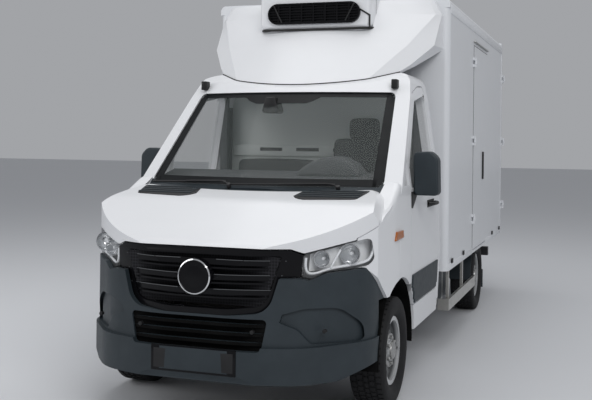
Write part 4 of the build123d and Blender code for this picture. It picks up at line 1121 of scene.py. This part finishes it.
class TRUCK_OT_chassis_trim(bpy.types.Operator):
    """Adds tank straps, the filler cap and the liners of the front wheel arches"""
    bl_idname = "truck.chassis_trim"
    bl_label = "Chassis fittings"

    def execute(self, context):
        deselect()
        straps = []
        for y in (1.95, 2.20):
            straps.append(block("strap", (0.4885, y - 0.02, 0.318), (0.8725, y + 0.02, 0.6115), 0.012))
        finish(join("tank_straps", straps), "chassis", "zinc")
        cap = rod("filler_cap", (0.865, 1.84, 0.54), (0.895, 1.84, 0.545), 0.035, bevel=0.004)
        finish(cap, "chassis", "matt_black")
        # The liners are black plastic, finished in the near-black that paints the shade inside the arches.
        finish_both(arch_liner("arch_liner"), "chassis", "void", 60.0)
        return {"FINISHED"}


def area_lamp(name, place, aim, size, power):
    """Soft rectangular lamp aimed at a point."""
    bpy.ops.object.light_add(type="AREA", location=place)
    lamp = bpy.context.object
    lamp.name = name
    lamp.data.shape = "RECTANGLE"
    lamp.data.size, lamp.data.size_y = size
    lamp.data.energy = power
    direction = Vector(aim) - Vector(place)
    lamp.rotation_euler = direction.to_track_quat("-Z", "Y").to_euler()


CAMERA_PLACE = (2.329, -5.780 + AXLE_SHIFT, 1.712)
CAMERA_YAW = math.radians(18.319)
CAMERA_PITCH = math.radians(-0.187)
CAMERA_ROLL = math.radians(0.659)
FOCAL_PIXELS = 898.3
PRINCIPAL = (318.0, 139.9)
IMAGE = (592, 400)  # width and height in pixels
SENSOR_WIDTH = 36.0


class TRUCK_OT_stage(bpy.types.Operator):
    """Adds the floor, the lamps, the world and the camera"""
    bl_idname = "truck.stage"
    bl_label = "Stage"

    def execute(self, context):
        deselect()
        bpy.ops.mesh.primitive_plane_add(size=120.0, location=(0, 0, 0))
        floor = context.object
        floor.name = "studio_floor"
        material, _, shader = new_material("studio_floor")
        put(shader, {"Base Color": (0.62, 0.63, 0.65, 1.0), "Roughness": 0.9})
        floor.data.materials.append(material)
        world = bpy.data.worlds.new("studio")
        context.scene.world = world
        world.use_nodes = True
        background = world.node_tree.nodes["Background"]
        put(background, {"Color": (0.86, 0.88, 0.92, 1.0), "Strength": 0.42})
        area_lamp("key_lamp", (5.5, -9.0, 7.0), (0, -1.5, 1.0), (6.0, 4.0), 420.0)
        area_lamp("fill_lamp", (-7.0, -6.0, 5.0), (0, -1.0, 1.2), (6.0, 5.0), 200.0)
        area_lamp("top_lamp", (0.0, 1.0, 9.0), (0, 0, 0), (8.0, 8.0), 300.0)

        forward = Vector((-math.sin(CAMERA_YAW) * math.cos(CAMERA_PITCH),
                          math.cos(CAMERA_YAW) * math.cos(CAMERA_PITCH), -math.sin(CAMERA_PITCH)))
        right = forward.cross(Vector((0, 0, 1))).normalized()
        up = right.cross(forward)
        turned_right = right * math.cos(CAMERA_ROLL) + up * math.sin(CAMERA_ROLL)
        turned_up = up * math.cos(CAMERA_ROLL) - right * math.sin(CAMERA_ROLL)
        bpy.ops.object.camera_add()
        camera = context.object
        basis = Matrix((turned_right, turned_up, -forward)).transposed().to_4x4()
        camera.matrix_world = Matrix.Translation(CAMERA_PLACE) @ basis
        camera.data.sensor_width = SENSOR_WIDTH
        camera.data.lens = FOCAL_PIXELS / IMAGE[0] * SENSOR_WIDTH
        camera.data.shift_x = (IMAGE[0] / 2 - PRINCIPAL[0]) / IMAGE[0]
        camera.data.shift_y = (PRINCIPAL[1] - IMAGE[1] / 2) / IMAGE[0]
        camera.data.clip_end = 200.0
        context.scene.camera = camera
        context.scene.view_settings.view_transform = "Standard"
        return {"FINISHED"}


OPERATORS = (
    TRUCK_OT_finishes, TRUCK_OT_front_glass, TRUCK_OT_shoulders, TRUCK_OT_bonnet_trim,
    TRUCK_OT_grille_trim, TRUCK_OT_headlamps, TRUCK_OT_bumper_trim, TRUCK_OT_cab_sides,
    TRUCK_OT_wheels, TRUCK_OT_unit_trim, TRUCK_OT_box_trim,
    TRUCK_OT_rear_trim, TRUCK_OT_cabin, TRUCK_OT_chassis_trim, TRUCK_OT_stage,
)


class TRUCK_PT_panel(bpy.types.Panel):
    """Sidebar panel with the truck's settings and operators"""
    bl_label = "Refrigerated Truck"
    bl_idname = "TRUCK_PT_panel"
    bl_space_type = "VIEW_3D"
    bl_region_type = "UI"
    bl_category = "Truck"

    def draw(self, context):
        for name in TruckSettings.__annotations__:
            self.layout.prop(context.scene.truck_settings, name)
        for operator in OPERATORS:
            self.layout.operator(operator.bl_idname)


CLASSES = (TruckSettings, *OPERATORS, TRUCK_PT_panel)


def register():
    """Adds the classes and the settings to Blender."""
    for item in CLASSES:
        bpy.utils.register_class(item)
    bpy.types.Scene.truck_settings = bpy.props.PointerProperty(type=TruckSettings)


def unregister():
    """Takes the classes and the settings out of Blender."""
    del bpy.types.Scene.truck_settings
    for item in reversed(CLASSES):
        bpy.utils.unregister_class(item)


def main():
    """Registers the add-on and runs every operator in order."""
    register()
    for operator in OPERATORS:
        group, name = operator.bl_idname.split(".")
        getattr(getattr(bpy.ops, group), name)()


if __name__ == "__main__":
    main()
